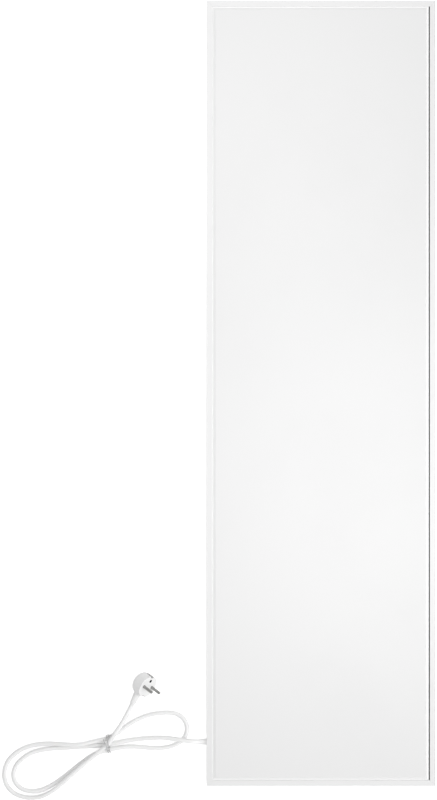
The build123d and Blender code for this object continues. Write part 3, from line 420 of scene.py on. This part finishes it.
highlighted = node(highlight_band_group, "ShaderNodeMix", {"data_type": "RGBA"})
highlight_band_group.links.new(bands[0].outputs[0], either.inputs[0])
highlight_band_group.links.new(bands[1].outputs[0], either.inputs[1])
highlight_band_group.links.new(either.outputs[0], highlighted.inputs["Factor"])
highlight_band_group.links.new(ends_in.outputs["Color"], highlighted.inputs["A"])
highlight_band_group.links.new(ends_in.outputs["Highlight color"], highlighted.inputs["B"])
highlight_band_group.links.new(highlighted.outputs["Result"], ends_out.inputs["Color"])
print("group", highlight_band_group.name, "has", len(highlight_band_group.nodes), "nodes")

# %% [markdown]
# ## The earth contact in the plug
# Beside its pins the plug has a hole for the earth pin of some sockets, lined with a metal tube. The tube
# could be a piece of its own, but hardly more of it shows than the dark inside of the hole. So it is a mask on
# the moulding, near the hole's axis, below the face and above the hole's floor, which paints the tube near
# black: its metal darkened with painted shade.

# %% Hole's tube and painted shade: a mask that paints the inside of a round hole near black
hole_shade_group, ends_in, ends_out = new_group(
    "hole_tube_and_shade",
    [
        ("Vector", "NodeSocketVector", None),
        ("Color", "NodeSocketColor", (0.8, 0.8, 0.8, 1.0)),
        ("Tube and shade color", "NodeSocketColor", (0.06, 0.06, 0.06, 1.0)),
        ("Radius", "NodeSocketFloat", 0.0026),
        ("From depth", "NodeSocketFloat", 0.0005),
        ("To depth", "NodeSocketFloat", 0.0125),
    ],
    [("Color", "NodeSocketColor")],
)
parts = node(hole_shade_group, "ShaderNodeSeparateXYZ")
flat = node(hole_shade_group, "ShaderNodeCombineXYZ")
reach = node(hole_shade_group, "ShaderNodeVectorMath", {"operation": "LENGTH"})
depth = node(hole_shade_group, "ShaderNodeMath", {"operation": "MULTIPLY"})
depth.inputs[1].default_value = -1.0
tube_and_shade = node(hole_shade_group, "ShaderNodeMix", {"data_type": "RGBA"})
hole_shade_group.links.new(ends_in.outputs["Vector"], parts.inputs["Vector"])
hole_shade_group.links.new(parts.outputs["X"], flat.inputs["X"])
hole_shade_group.links.new(parts.outputs["Y"], flat.inputs["Y"])
hole_shade_group.links.new(flat.outputs["Vector"], reach.inputs[0])
hole_shade_group.links.new(parts.outputs["Z"], depth.inputs[0])
inner = all_hold(
    hole_shade_group,
    ends_in,
    [
        (reach.outputs["Value"], "LESS_THAN", "Radius"),
        (depth.outputs[0], "GREATER_THAN", "From depth"),
        (depth.outputs[0], "LESS_THAN", "To depth"),
    ],
)
hole_shade_group.links.new(inner.outputs[0], tube_and_shade.inputs["Factor"])
hole_shade_group.links.new(ends_in.outputs["Color"], tube_and_shade.inputs["A"])
hole_shade_group.links.new(ends_in.outputs["Tube and shade color"], tube_and_shade.inputs["B"])
hole_shade_group.links.new(tube_and_shade.outputs["Result"], ends_out.inputs["Color"])
print("group", hole_shade_group.name, "has", len(hole_shade_group.nodes), "nodes")

# %% [markdown]
# ## One recipe for all finishes
# Every finish here is a coat, a plastic or a metal that differs only in colour, gloss and grain. So one
# function mixes them all from the two effects, and each finish is a row of values that can be compared.


# %% Mix a finish
def finish(name, color, dull, gloss, patches=9.0, amount=0.3, grain=900.0, depth=0.1, wave=0.3, **sockets):
    """A Principled material with tone drift and fine relief on object coordinates."""
    material = bpy.data.materials.new(name)
    material.use_nodes = True
    tree = material.node_tree
    shader = tree.nodes["Principled BSDF"]
    place = node(tree, "ShaderNodeTexCoord")
    drift = node(tree, "ShaderNodeGroup", {"node_tree": drift_group})
    relief = node(tree, "ShaderNodeGroup", {"node_tree": relief_group})
    for socket, value in (
        ("Color", (*color, 1.0)),
        ("Dull color", (*dull, 1.0)),
        ("Patches per metre", patches),
        ("Amount", amount),
        ("Gloss from", gloss[0]),
        ("Gloss to", gloss[1]),
    ):
        drift.inputs[socket].default_value = value
    for socket, value in (("Grain per metre", grain), ("Depth", depth), ("Wave", wave)):
        relief.inputs[socket].default_value = value
    tree.links.new(place.outputs["Object"], drift.inputs["Vector"])
    tree.links.new(place.outputs["Object"], relief.inputs["Vector"])
    tree.links.new(drift.outputs["Color"], shader.inputs["Base Color"])
    tree.links.new(drift.outputs["Roughness"], shader.inputs["Roughness"])
    tree.links.new(relief.outputs["Normal"], shader.inputs["Normal"])
    for socket, value in sockets.items():
        shader.inputs[socket.replace("_", " ")].default_value = value
    return material


# %% [markdown]
# ## Finishes
# The plate has a fine, almost matt textured powder coat that spreads the heat; the rails a smoother satin
# one. The lead, plug and sleeve are white soft plastic. Inside and behind there is zinc, rubber, copper
# and fibre board, seen only when the panel is turned over or taken apart. Each row gives the colour, the
# colour of the dull patches and the range of roughness, and then the scale and strength of both effects.
# The lead's soft vinyl also lets some light in, which is scattered over about two millimetres.

# %% White coats, sheath and mouldings
finishes = {}
soft_vinyl = {"Subsurface_Weight": 0.5, "Subsurface_Radius": (1.0, 1.0, 1.0), "Subsurface_Scale": 0.002}
finishes["frame_white"] = finish(
    "rail_powder_coat", (0.875, 0.875, 0.875), (0.85, 0.85, 0.85), (0.32, 0.42),
    patches=6.0, amount=0.5, grain=700.0, depth=0.07, wave=0.8,
)
finishes["plate_white"] = finish(
    "plate_textured_coat", (0.84, 0.84, 0.84), (0.82, 0.82, 0.82), (0.55, 0.65),
    patches=4.0, amount=0.5, grain=1500.0, depth=0.12, wave=0.1,
)
finishes["cord_white"] = finish(
    "lead_sheath", (0.91, 0.91, 0.91), (0.88, 0.88, 0.87), (0.36, 0.48),
    patches=40.0, amount=0.5, grain=1100.0, depth=0.05, wave=0.2, **soft_vinyl,
)
finishes["moulded_white"] = finish(
    "moulded_sleeve", (0.90, 0.90, 0.90), (0.86, 0.86, 0.85), (0.38, 0.5),
    patches=60.0, amount=0.5, grain=1400.0, depth=0.08, wave=0.2,
)
# The tie is white plastic; its mid grey is painted shade along its edges and twists.
finishes["tie_white"] = finish(
    "tie_grey_painted_shade", (0.60, 0.60, 0.60), (0.50, 0.50, 0.50), (0.35, 0.45),
    patches=80.0, amount=0.5, grain=1400.0, depth=0.05, wave=0.2,
)
finishes["back_white"] = finish(
    "back_coat", (0.78, 0.78, 0.78), (0.72, 0.72, 0.71), (0.5, 0.62),
    patches=5.0, amount=0.6, grain=900.0, depth=0.1, wave=0.3,
)
print(len(finishes), "white finishes")

# %% [markdown]
# The plastics, films, rubbers and the board are matt or satin, and each core of the lead has its code
# colour: brown, blue, and green and yellow for the earth. Its yellow could be a stripe along a UV map, but so
# little of that core shows that the dull patches are simply yellow.

# %% Plastics, films, board and rubber
finishes["box_plastic"] = finish(
    "box_plastic", (0.80, 0.80, 0.78), (0.74, 0.74, 0.72), (0.45, 0.6),
    patches=30.0, amount=0.5, grain=1300.0, depth=0.12, wave=0.2,
)
finishes["film"] = finish(
    "polyester_film", (0.80, 0.76, 0.62), (0.74, 0.70, 0.55), (0.2, 0.35),
    patches=12.0, amount=0.5, grain=400.0, depth=0.03, wave=0.6,
)
finishes["board"] = finish(
    "fibre_board", (0.74, 0.68, 0.48), (0.60, 0.53, 0.34), (0.85, 0.95),
    patches=60.0, amount=0.8, grain=500.0, depth=0.6, wave=0.3,
)
finishes["seal_rubber"] = finish(
    "seal_rubber", (0.03, 0.03, 0.03), (0.06, 0.06, 0.06), (0.6, 0.8),
    patches=50.0, amount=0.6, grain=900.0, depth=0.15, wave=0.2,
)
finishes["pad_rubber"] = finish(
    "pad_rubber", (0.42, 0.42, 0.43), (0.52, 0.52, 0.52), (0.6, 0.8),
    patches=80.0, amount=0.6, grain=900.0, depth=0.15, wave=0.2,
)
finishes["cutout_case"] = finish(
    "cutout_case", (0.03, 0.03, 0.03), (0.06, 0.06, 0.06), (0.35, 0.5),
    patches=80.0, amount=0.5, grain=900.0, depth=0.08, wave=0.2,
)
finishes["core_brown"] = finish(
    "core_brown", (0.16, 0.06, 0.02), (0.22, 0.09, 0.04), (0.35, 0.45),
    patches=60.0, amount=0.5, grain=900.0, depth=0.04, wave=0.2,
)
finishes["core_blue"] = finish(
    "core_blue", (0.03, 0.10, 0.45), (0.05, 0.15, 0.5), (0.35, 0.45),
    patches=60.0, amount=0.5, grain=900.0, depth=0.04, wave=0.2,
)
finishes["core_earth"] = finish(
    "core_earth", (0.20, 0.42, 0.05), (0.70, 0.60, 0.04), (0.35, 0.45),
    patches=60.0, amount=0.5, grain=900.0, depth=0.04, wave=0.2,
)
print(len(finishes), "finishes with plastics and rubber")

# %% [markdown]
# Metal is the same recipe with Metallic at one. Zinc, foil and nickel differ in how dark their dull patches
# are and how sharply they mirror.

# %% Metals
finishes["zinc_steel"] = finish(
    "zinc_plate", (0.62, 0.63, 0.65), (0.48, 0.49, 0.50), (0.25, 0.45),
    patches=70.0, amount=0.7, grain=800.0, depth=0.06, wave=0.2, Metallic=1.0,
)
finishes["cast_aluminium"] = finish(
    "cast_aluminium", (0.60, 0.61, 0.63), (0.45, 0.46, 0.48), (0.4, 0.6),
    patches=60.0, amount=0.7, grain=600.0, depth=0.2, wave=0.2, Metallic=1.0,
)
finishes["resistance_foil"] = finish(
    "resistance_foil", (0.35, 0.35, 0.36), (0.27, 0.27, 0.28), (0.3, 0.45),
    patches=30.0, amount=0.6, grain=700.0, depth=0.05, wave=0.2, Metallic=1.0,
)
finishes["copper"] = finish(
    "copper_strip", (0.80, 0.42, 0.26), (0.50, 0.24, 0.14), (0.25, 0.45),
    patches=40.0, amount=0.6, grain=700.0, depth=0.05, wave=0.2, Metallic=1.0,
)
finishes["foil"] = finish(
    "reflector_foil", (0.86, 0.87, 0.88), (0.72, 0.73, 0.74), (0.15, 0.3),
    patches=25.0, amount=0.6, grain=250.0, depth=0.15, wave=0.8, Metallic=1.0,
)
finishes["nickel_brass"] = finish(
    "nickel_plate", (0.40, 0.40, 0.39), (0.28, 0.28, 0.28), (0.15, 0.3),
    patches=90.0, amount=0.6, grain=900.0, depth=0.03, wave=0.2, Metallic=1.0,
)
finishes["tinned_brass"] = finish(
    "tinned_brass", (0.72, 0.70, 0.62), (0.55, 0.52, 0.44), (0.25, 0.4),
    patches=90.0, amount=0.6, grain=900.0, depth=0.05, wave=0.2, Metallic=1.0,
)
print(len(finishes), "finishes with metals")

# %% [markdown]
# The masks go over the finished coats. Limits typed in as numbers would be wrong after any change of size, so
# those of the gap and the outline come from the boxes of the plate and the rail.

# %% Masks over the coats
rail_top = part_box("frame_rail_right")[1]
plate_low, plate_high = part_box("heating_plate")
outline_shift = 0.0012
outline = {
    "Middle X": (plate_low[0] + plate_high[0]) / 2 - outline_shift,
    "Half width": (plate_high[0] - plate_low[0]) / 2,
    "Half length": (plate_high[1] - plate_low[1]) / 2,
}
rail_face = 0.009
into_plate = 0.001
into_rail = 0.0003
under_plate = 0.0002
gap = {
    "From X": plate_high[0] - into_plate,
    "To X": rail_top[0] - rail_face + into_rail,
    "Half length": plate_high[1],
    "Above": plate_low[2] - under_plate,
}
# Painted shade in the gap begins this far below the tops of the rail and of the plate.
rail_shade_below_top = 0.001
plate_shade_below_top = 0.00165
# A painted highlight runs along the plate's outline, a little wider at the right.
paint_over(finishes["plate_white"], highlight_band_group, outline)
paint_over(finishes["frame_white"], gap_shade_group, {**gap, "Below": rail_top[2] - rail_shade_below_top})
paint_over(finishes["plate_white"], gap_shade_group, {**gap, "Below": plate_high[2] - plate_shade_below_top})
print("gap from", round(gap["From X"], 4), "to", round(gap["To X"], 4), "m stays bare")

# %% [markdown]
# The hole runs along the plug's pins, aslant to all three axes. Its mask could test slanted distances, but it
# is simpler to turn the coordinates: the third axis is then the way of the pins, and the first is the way of
# the neck, set square to it.

# %% The plug's hole: its mouth and its turn
plug_face = Vector((-0.2645, -0.449, 0.02365))
pin_way = Vector((0.669, -0.457, 0.586)).normalized()
neck_lean = Vector((-0.38, -0.91, -0.15))
neck_way = (neck_lean - pin_way * neck_lean.dot(pin_way)).normalized()
hole_from_middle = 0.01
plug_turn = Matrix((neck_way, pin_way.cross(neck_way), pin_way)).transposed().to_euler()
hole_place = {"Location": plug_face - neck_way * hole_from_middle, "Rotation": plug_turn}
# The hole's inside is painted near black: the metal tube, darkened with painted shade.
paint_over(finishes["moulded_white"], hole_shade_group, {}, turned=hole_place)
print("hole lined at", [round(v, 4) for v in hole_place["Location"]])

# %% [markdown]
# ## Dressing the solids
# The record says which material slot each solid takes. Setting a material by hand for 58 nodes would invite
# mistakes, so a loop looks each one up.

# %% Dress every solid with the finish of its slot
slot_of = {part["node"]: part["material_slot"] for part in frame["record"]["subparts"]}
for name, solid in nodes.items():
    for slot in solid.material_slots:
        slot.material = finishes[slot_of[name]]
lead_curve.materials.append(finishes["cord_white"])
print("dressed", len(nodes), "solids")

# %% [markdown]
# ## Helpers for pieces
# A ready-made solid is a bag of loose triangles with knife-sharp edges. Where a piece is seen from close by,
# it is copied, its triangles are joined, and its edges are rounded a little, as moulding and plating do.
# What repeats, such as a screw, is modelled once and copied to every place where the frame has one.


# %% Helpers to select and to finish
def only(piece):
    """Makes one object the selected and active one."""
    bpy.ops.object.select_all(action="DESELECT")
    piece.select_set(True)
    bpy.context.view_layer.objects.active = piece


def select_faces(piece, chosen):
    """Goes into edit mode with just the faces selected for which the given test holds."""
    only(piece)
    bpy.ops.object.mode_set(mode="EDIT")
    bpy.ops.mesh.select_mode(type="FACE")
    bpy.ops.mesh.select_all(action="DESELECT")
    bpy.ops.object.mode_set(mode="OBJECT")
    for face in piece.data.polygons:
        face.select = chosen(face)
    bpy.ops.object.mode_set(mode="EDIT")


def apply_modifier(piece, kind, **settings):
    """Adds a modifier with its settings and applies it."""
    only(piece)
    modifier = piece.modifiers.new(kind.lower(), kind)
    for key, value in settings.items():
        setattr(modifier, key, value)
    bpy.ops.object.modifier_apply(modifier=modifier.name)


def wear(piece, slot, *replaced):
    """Gives a finished piece its finish and body, and hides the solids that it stands for."""
    piece.data.materials.clear()
    piece.data.materials.append(finishes[slot])
    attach(piece, "root")
    if replaced:
        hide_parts(*replaced)


# %% Helpers to copy and to soften a solid
weld_distance = 0.000002
edge_angle = 35.0


def joined_copy(node_name, name):
    """A copy of a solid's mesh with its loose triangles joined."""
    piece = bpy.data.objects.new(name, nodes[node_name].data.copy())
    scene.collection.objects.link(piece)
    only(piece)
    bpy.ops.object.mode_set(mode="EDIT")
    bpy.ops.mesh.select_all(action="SELECT")
    bpy.ops.mesh.remove_doubles(threshold=weld_distance)
    bpy.ops.mesh.normals_make_consistent(inside=False)
    bpy.ops.mesh.dissolve_limited(angle_limit=radians(1.0))
    bpy.ops.object.mode_set(mode="OBJECT")
    return piece


def soften(piece, width, segments=2, shade=35.0):
    """Rounds the edges sharper than the edge angle, and shades smooth across those blunter than another."""
    apply_modifier(
        piece, "BEVEL", width=width, segments=segments, limit_method="ANGLE", angle_limit=radians(edge_angle)
    )
    only(piece)
    bpy.ops.object.shade_smooth_by_angle(angle=radians(shade))
    apply_modifier(piece, "WEIGHTED_NORMAL", keep_sharp=True, weight=100)


def island_boxes(node_name):
    """The lowest and highest corner of every separate solid in a node, in the order of their places."""
    mesh = bmesh.new()
    mesh.from_mesh(nodes[node_name].data)
    bmesh.ops.remove_doubles(mesh, verts=mesh.verts, dist=weld_distance)
    left = set(mesh.verts)
    boxes = []
    while left:
        front = [left.pop()]
        island = []
        while front:
            corner = front.pop()
            island.append(corner.co.copy())
            for edge in corner.link_edges:
                other = edge.other_vert(corner)
                if other in left:
                    left.remove(other)
                    front.append(other)
        boxes.append([Vector(f(p[axis] for p in island) for axis in range(3)) for f in (min, max)])
    mesh.free()
    # A set gives out its corners in another order each run, and sorting makes every run the same.
    return sorted(boxes, key=lambda box: [round(v, 4) for v in box[0]])


# %% [markdown]
# ## The heating plate
# The plate is one folded sheet, whose edges get a small rounding. On three sides it all but touches the
# rails, so no dark line shows there; only along the right-hand rail does it stand clear. Scaling the whole
# copy would also move the edges of its flat face, so only the vertices near the outline are moved.

# %% Plate pushed against three rails
plate = joined_copy("heating_plate", "plate_tray")
skirt_depth = 0.003
closing = 0.00025
for vertex in plate.data.vertices:
    if vertex.co.y > plate_high[1] - skirt_depth:
        vertex.co.y += closing
    elif vertex.co.y < plate_low[1] + skirt_depth:
        vertex.co.y -= closing
    if vertex.co.x < plate_low[0] + skirt_depth:
        vertex.co.x -= closing
soften(plate, 0.0002, shade=8.0)
wear(plate, "plate_white", "heating_plate")
print("plate has", len(plate.data.polygons), "faces")

# %% [markdown]
# ## The plug
# The real plug is one soft-edged moulding: a round face, a bulged back and a neck with rings that let it
# bend. A bevel could be no wider than the short edges where these forms cross. Remeshing the solid into a
# fine even skin and smoothing it a little melts the forms into each other, as plastic does in its mould.

# %% Plug moulding
plug = joined_copy("plug_body", "plug_moulding")
apply_modifier(plug, "REMESH", mode="VOXEL", voxel_size=0.00045)
apply_modifier(plug, "SMOOTH", factor=0.5, iterations=5)
only(plug)
bpy.ops.object.shade_smooth()
wear(plug, "moulded_white", "plug_body")
print("plug has", len(plug.data.polygons), "faces")

# %% [markdown]
# The pins and the side contacts are brass, nickel plated. Their solids already have the right form, so building
# them anew would gain nothing: a small bevel takes the knife edges off, which gives each edge its thin shine.

# %% Plug's metal: pins with rounded tips and bowed earth clips
pins = joined_copy("plug_pins", "plug_contact_pins")
soften(pins, 0.0003)
wear(pins, "nickel_brass", "plug_pins")
clips = joined_copy("plug_earth_clips", "plug_side_contacts")
soften(clips, 0.0002)
wear(clips, "nickel_brass", "plug_earth_clips")
print("contacts have", len(pins.data.polygons) + len(clips.data.polygons), "faces")

# %% [markdown]
# ## Sleeve and wall pads
# The sleeve in the left rail and the four rubber pads are small mouldings too. Their forms are plain and do
# not cross, so here a bevel is enough: they keep the shape of their solids and only get rounded edges.

# %% Sleeve and pads
sleeve = joined_copy("strain_relief", "lead_sleeve")
soften(sleeve, 0.0003)
wear(sleeve, "moulded_white", "strain_relief")
for corner in ("lower_left", "lower_right", "upper_left", "upper_right"):
    pad = joined_copy(f"wall_pad_{corner}", f"rubber_pad_{corner}")
    soften(pad, 0.0004, segments=3)
    wear(pad, "pad_rubber", f"wall_pad_{corner}")
print("sleeve and four pads softened")

# %% [markdown]
# ## The lead's fittings
# The plug, sleeve and tie lie along the lead where the solids put them.

print("plug, sleeve and tie lie along the lead")

# %% [markdown]
# ## Screws and rivets
# The back is held by screws with a cross-shaped recess, and the hangers by hollow rivets. Each kind could be
# turned from a profile, but the recess isn't round. So each is built once, from a cylinder: its head is
# rounded by a bevel, its shank is drawn out of the seat by extrusion, and two crossed wedges cut the recess.
# Every screw stands at its own turn, as a fitter leaves them.


# %% One screw with a cross recess
def screw_model(head_radius, head_height, shank_radius, shank_length, countersunk=False):
    """A screw with its seat at the origin, its head below and its shank above."""
    bpy.ops.object.select_all(action="DESELECT")
    bpy.ops.mesh.primitive_cylinder_add(
        vertices=32, radius=head_radius, depth=head_height, location=(0, 0, -head_height / 2)
    )
    screw = bpy.context.object
    bpy.ops.object.transform_apply(location=True, rotation=True, scale=True)
    select_faces(screw, lambda face: face.normal.z > 0.9)
    if countersunk:
        bpy.ops.transform.resize(value=(shank_radius / head_radius,) * 2 + (1,))
    else:
        bpy.ops.mesh.inset(thickness=head_radius - shank_radius)
    tip_share = 0.2
    bpy.ops.mesh.extrude_region_move(TRANSFORM_OT_translate={"value": (0, 0, shank_length * (1 - tip_share))})
    bpy.ops.mesh.extrude_region_move(TRANSFORM_OT_translate={"value": (0, 0, shank_length * tip_share)})
    bpy.ops.transform.resize(value=(0.5, 0.5, 1))
    bpy.ops.object.mode_set(mode="OBJECT")
    select_faces(screw, lambda face: face.normal.z < -0.9)
    rounding = 0.12 if countersunk else 0.55
    bpy.ops.mesh.bevel(offset=head_height * rounding, segments=4, affect="EDGES")
    bpy.ops.object.mode_set(mode="OBJECT")
    recess_size = (head_radius * 1.15, head_radius * 0.3, head_height * 1.2)
    for turn in (0, pi / 2):
        bpy.ops.object.select_all(action="DESELECT")
        bpy.ops.mesh.primitive_cube_add(size=1, location=(0, 0, -head_height), rotation=(0, 0, turn))
        cutter = bpy.context.object
        cutter.scale = recess_size
        bpy.ops.object.transform_apply(location=True, rotation=True, scale=True)
        select_faces(cutter, lambda face: face.normal.z > 0.9)
        bpy.ops.transform.resize(value=(0.5, 0.5, 1))
        bpy.ops.object.mode_set(mode="OBJECT")
        apply_modifier(screw, "BOOLEAN", operation="DIFFERENCE", object=cutter, solver="EXACT")
        bpy.data.objects.remove(cutter)
    only(screw)
    bpy.ops.object.shade_smooth_by_angle(angle=radians(30.0))
    return screw


# %% [markdown]
# The frame keeps all screws of a kind in one mesh, and each separate solid in it marks a place. Places typed in
# as numbers would be wrong as soon as one moves, so they are read from the solids. Each copy is turned further
# than the one before, and the joined copies are one piece again.

# %% Copies of one model at every place where the frame has a solid
turn_step = 0.9


def place_copies(model, name, slot, node_name, seat_height):
    """Copies the model to the middle of each solid of a node, joins the copies and removes the model."""
    copies = []
    for count, (low, high) in enumerate(island_boxes(node_name)):
        middle = (low + high) / 2
        copy = bpy.data.objects.new(name, model.data.copy())
        turn = Matrix.Rotation(turn_step * count, 4, "Z")
        copy.data.transform(Matrix.Translation((middle.x, middle.y, seat_height)) @ turn)
        scene.collection.objects.link(copy)
        copies.append(copy)
    bpy.data.objects.remove(model)
    bpy.ops.object.select_all(action="DESELECT")
    for copy in copies:
        copy.select_set(True)
    bpy.context.view_layer.objects.active = copies[0]
    bpy.ops.object.join()
    joined = bpy.context.object
    joined.name = name
    wear(joined, slot, node_name)
    print(name, len(copies), "pieces,", len(joined.data.polygons), "faces")


# %% [markdown]
# Pan heads hold the back plate and the box cover, and countersunk ones lie flush in the frame's back. All have
# shanks of the same radius. One function with sizes makes the three kinds, as a parts list tells them apart.

# %% Screws of the back plate, the box cover and the corner keys
back_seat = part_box("back_plate")[0][2]
cover_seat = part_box("box_cover")[0][2]
sunk_head_height = 0.0012
frame_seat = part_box("corner_key_screws")[0][2] + sunk_head_height
shank = 0.00145
pan_screw = screw_model(head_radius=0.003, head_height=0.0018, shank_radius=shank, shank_length=0.0032)
place_copies(pan_screw, "pan_screws", "zinc_steel", "back_plate_screws", back_seat)
long_screw = screw_model(head_radius=0.0028, head_height=0.0011, shank_radius=shank, shank_length=0.01)
place_copies(long_screw, "cover_pan_screws", "zinc_steel", "cover_screws", cover_seat)
sunk_screw = screw_model(0.0027, sunk_head_height, shank, shank_length=0.0063, countersunk=True)
place_copies(sunk_screw, "corner_countersunk_screws", "zinc_steel", "corner_key_screws", frame_seat)

# %% [markdown]
# A rivet is pushed through hanger and back plate from outside, and its tail is swollen by pulling a pin out
# of it, which leaves the head pierced. It starts as the screws do, but its hole is round and needs no cutter:
# the cylinder is drawn up to the tail, the tail is widened, and the head's middle is inset and pushed in.


# %% Hollow rivets of the hangers
def rivet_model(head_radius, head_height, shank_radius, grip, tail_radius, tail_height):
    """A rivet with a domed head below its seat, a pierced middle and a swollen tail."""
    bpy.ops.object.select_all(action="DESELECT")
    bpy.ops.mesh.primitive_cylinder_add(
        vertices=32, radius=head_radius, depth=head_height, location=(0, 0, -head_height / 2)
    )
    rivet = bpy.context.object
    bpy.ops.object.transform_apply(location=True, rotation=True, scale=True)
    select_faces(rivet, lambda face: face.normal.z > 0.9)
    bpy.ops.mesh.inset(thickness=head_radius - shank_radius)
    bpy.ops.mesh.extrude_region_move(TRANSFORM_OT_translate={"value": (0, 0, grip)})
    bpy.ops.mesh.extrude_region_move(TRANSFORM_OT_translate={"value": (0, 0, 0)})
    bpy.ops.transform.resize(value=(tail_radius / shank_radius,) * 2 + (1,))
    bpy.ops.mesh.extrude_region_move(TRANSFORM_OT_translate={"value": (0, 0, tail_height)})
    tail_rounding = 0.4
    bpy.ops.mesh.bevel(offset=tail_height * tail_rounding, segments=3, affect="EDGES")
    bpy.ops.object.mode_set(mode="OBJECT")
    select_faces(rivet, lambda face: face.normal.z < -0.9)
    head_rounding = 0.7
    bpy.ops.mesh.bevel(offset=head_height * head_rounding, segments=4, affect="EDGES")
    bpy.ops.object.mode_set(mode="OBJECT")
    select_faces(rivet, lambda face: face.normal.z < -0.99 and face.center.z < -head_height * 0.98)
    rim_share, hole_share = 0.45, 0.8
    bpy.ops.mesh.inset(thickness=head_radius * rim_share)
    bpy.ops.mesh.extrude_region_move(TRANSFORM_OT_translate={"value": (0, 0, head_height * hole_share)})
    bpy.ops.object.mode_set(mode="OBJECT")
    only(rivet)
    bpy.ops.object.shade_smooth_by_angle(angle=radians(30.0))
    return rivet


rivet = rivet_model(
    head_radius=0.0035,
    head_height=0.001,
    shank_radius=0.002,
    grip=0.0029,
    tail_radius=0.0026,
    tail_height=0.002,
)
place_copies(rivet, "hollow_rivets", "zinc_steel", "hanger_rivets", back_seat)

# %% [markdown]
# ## Floor and light
# The heater lies on a plain white floor, bright enough in the picture to hide its shadows, as in a catalogue
# photograph. A stronger light would bleach the floor too, but the white panel with it, so the floor glows a
# little for the camera alone.

# %% Floor
bpy.ops.object.select_all(action="DESELECT")
floor_size = 40.0
bpy.ops.mesh.primitive_plane_add(size=floor_size, location=(0, 0, 0))
floor = bpy.context.object
floor.name = "floor"
paper = bpy.data.materials.new("floor_paper")
paper.use_nodes = True
paper_shader = paper.node_tree.nodes["Principled BSDF"]
paper_shader.inputs["Base Color"].default_value = (0.92, 0.92, 0.92, 1.0)
paper_shader.inputs["Roughness"].default_value = 0.9
paper_shader.inputs["Emission Color"].default_value = (1.0, 1.0, 1.0, 1.0)
rays = node(paper.node_tree, "ShaderNodeLightPath")
shine = node(paper.node_tree, "ShaderNodeMath", {"operation": "MULTIPLY"})
paper_glow = 0.6
shine.inputs[1].default_value = paper_glow
paper.node_tree.links.new(rays.outputs["Is Camera Ray"], shine.inputs[0])
paper.node_tree.links.new(shine.outputs[0], paper_shader.inputs["Emission Strength"])
floor.data.materials.append(paper)
print("floor", floor_size, "m wide")

# %% [markdown]
# Each light is added at its place and turned to shine at a point. A point lamp would draw hard shadows. An area
# light is soft as a studio's diffuser, and a spot light whose cone fades out leaves no edge on the plate.


# %% Helpers for lights
def turned_towards(place, aim):
    """The rotation of a light at a place that shines at the point it aims at."""
    return (Vector(aim) - Vector(place)).to_track_quat("-Z", "Y").to_euler()


def soft_light(name, place, aim, size, power):
    """A square area light."""
    bpy.ops.object.select_all(action="DESELECT")
    bpy.ops.object.light_add(type="AREA", location=place, rotation=turned_towards(place, aim))
    light = bpy.context.object
    light.name = name
    light.data.size = size
    light.data.energy = power


def glow(name, place, aim, cone, power, lamp_radius=0.3, fade=1.0):
    """A spot light whose cone fades out softly."""
    bpy.ops.object.select_all(action="DESELECT")
    bpy.ops.object.light_add(type="SPOT", location=place, rotation=turned_towards(place, aim))
    light = bpy.context.object
    light.name = name
    light.data.spot_size = radians(cone)
    light.data.spot_blend = fade
    light.data.shadow_soft_size = lamp_radius
    light.data.energy = power


# %% [markdown]
# The large light from the lower right makes the edges that face left and up darker. The brightest part of the
# plate lies right of its middle, where a narrower light falls, and a third lifts the upper end. The lead's
# sleeve lies in the panel's shadow, so a tiny lamp of its own lightens it.

# %% The four lights
soft_light("light_lower_right", place=(7.5, -2.7, 8.8), aim=(0, 0, 0), size=7.0, power=560.0)
glow("light_middle", place=(1.2, -0.19, 3.0), aim=(0.04, -0.18, 0.0), cone=18.0, power=98.0)
glow("light_upper", place=(-0.9, 0.6, 3.0), aim=(-0.12, 0.45, 0.0), cone=19.0, power=66.0)
sleeve_middle = (-0.1825, -0.5333, 0.0135)
glow(
    "light_sleeve",
    place=(-0.75, -0.62, 0.83),
    aim=sleeve_middle,
    cone=1.4,
    power=10.0,
    lamp_radius=0.004,
    fade=0.8,
)

# %% [markdown]
# The world fills the shadows evenly. If it were as bright as the picture's white ground, it would wash all
# shading out, so it is white to camera rays alone. Then no horizon shows in low views either.

# %% World
world = bpy.data.worlds.new("studio")
world.use_nodes = True
sky = world.node_tree.nodes["Background"]
sky.inputs["Color"].default_value = (1.0, 1.0, 1.0, 1.0)
sky_strength = 0.64
sky_rays = node(world.node_tree, "ShaderNodeLightPath")
sky_power = node(world.node_tree, "ShaderNodeMath", {"operation": "MULTIPLY_ADD"})
sky_power.inputs[1].default_value = 1.0 - sky_strength
sky_power.inputs[2].default_value = sky_strength
world.node_tree.links.new(sky_rays.outputs["Is Camera Ray"], sky_power.inputs[0])
world.node_tree.links.new(sky_power.outputs[0], sky.inputs["Strength"])
scene.world = world
scene.view_settings.view_transform = "Standard"
scene.view_settings.look = "None"
print("world at", sky_strength, "and white for the camera")

# %% [markdown]
# ## The last update
# The view layer is updated at the end, because a new curve has no box before one.

# %% Update the view layer
bpy.context.view_layer.update()
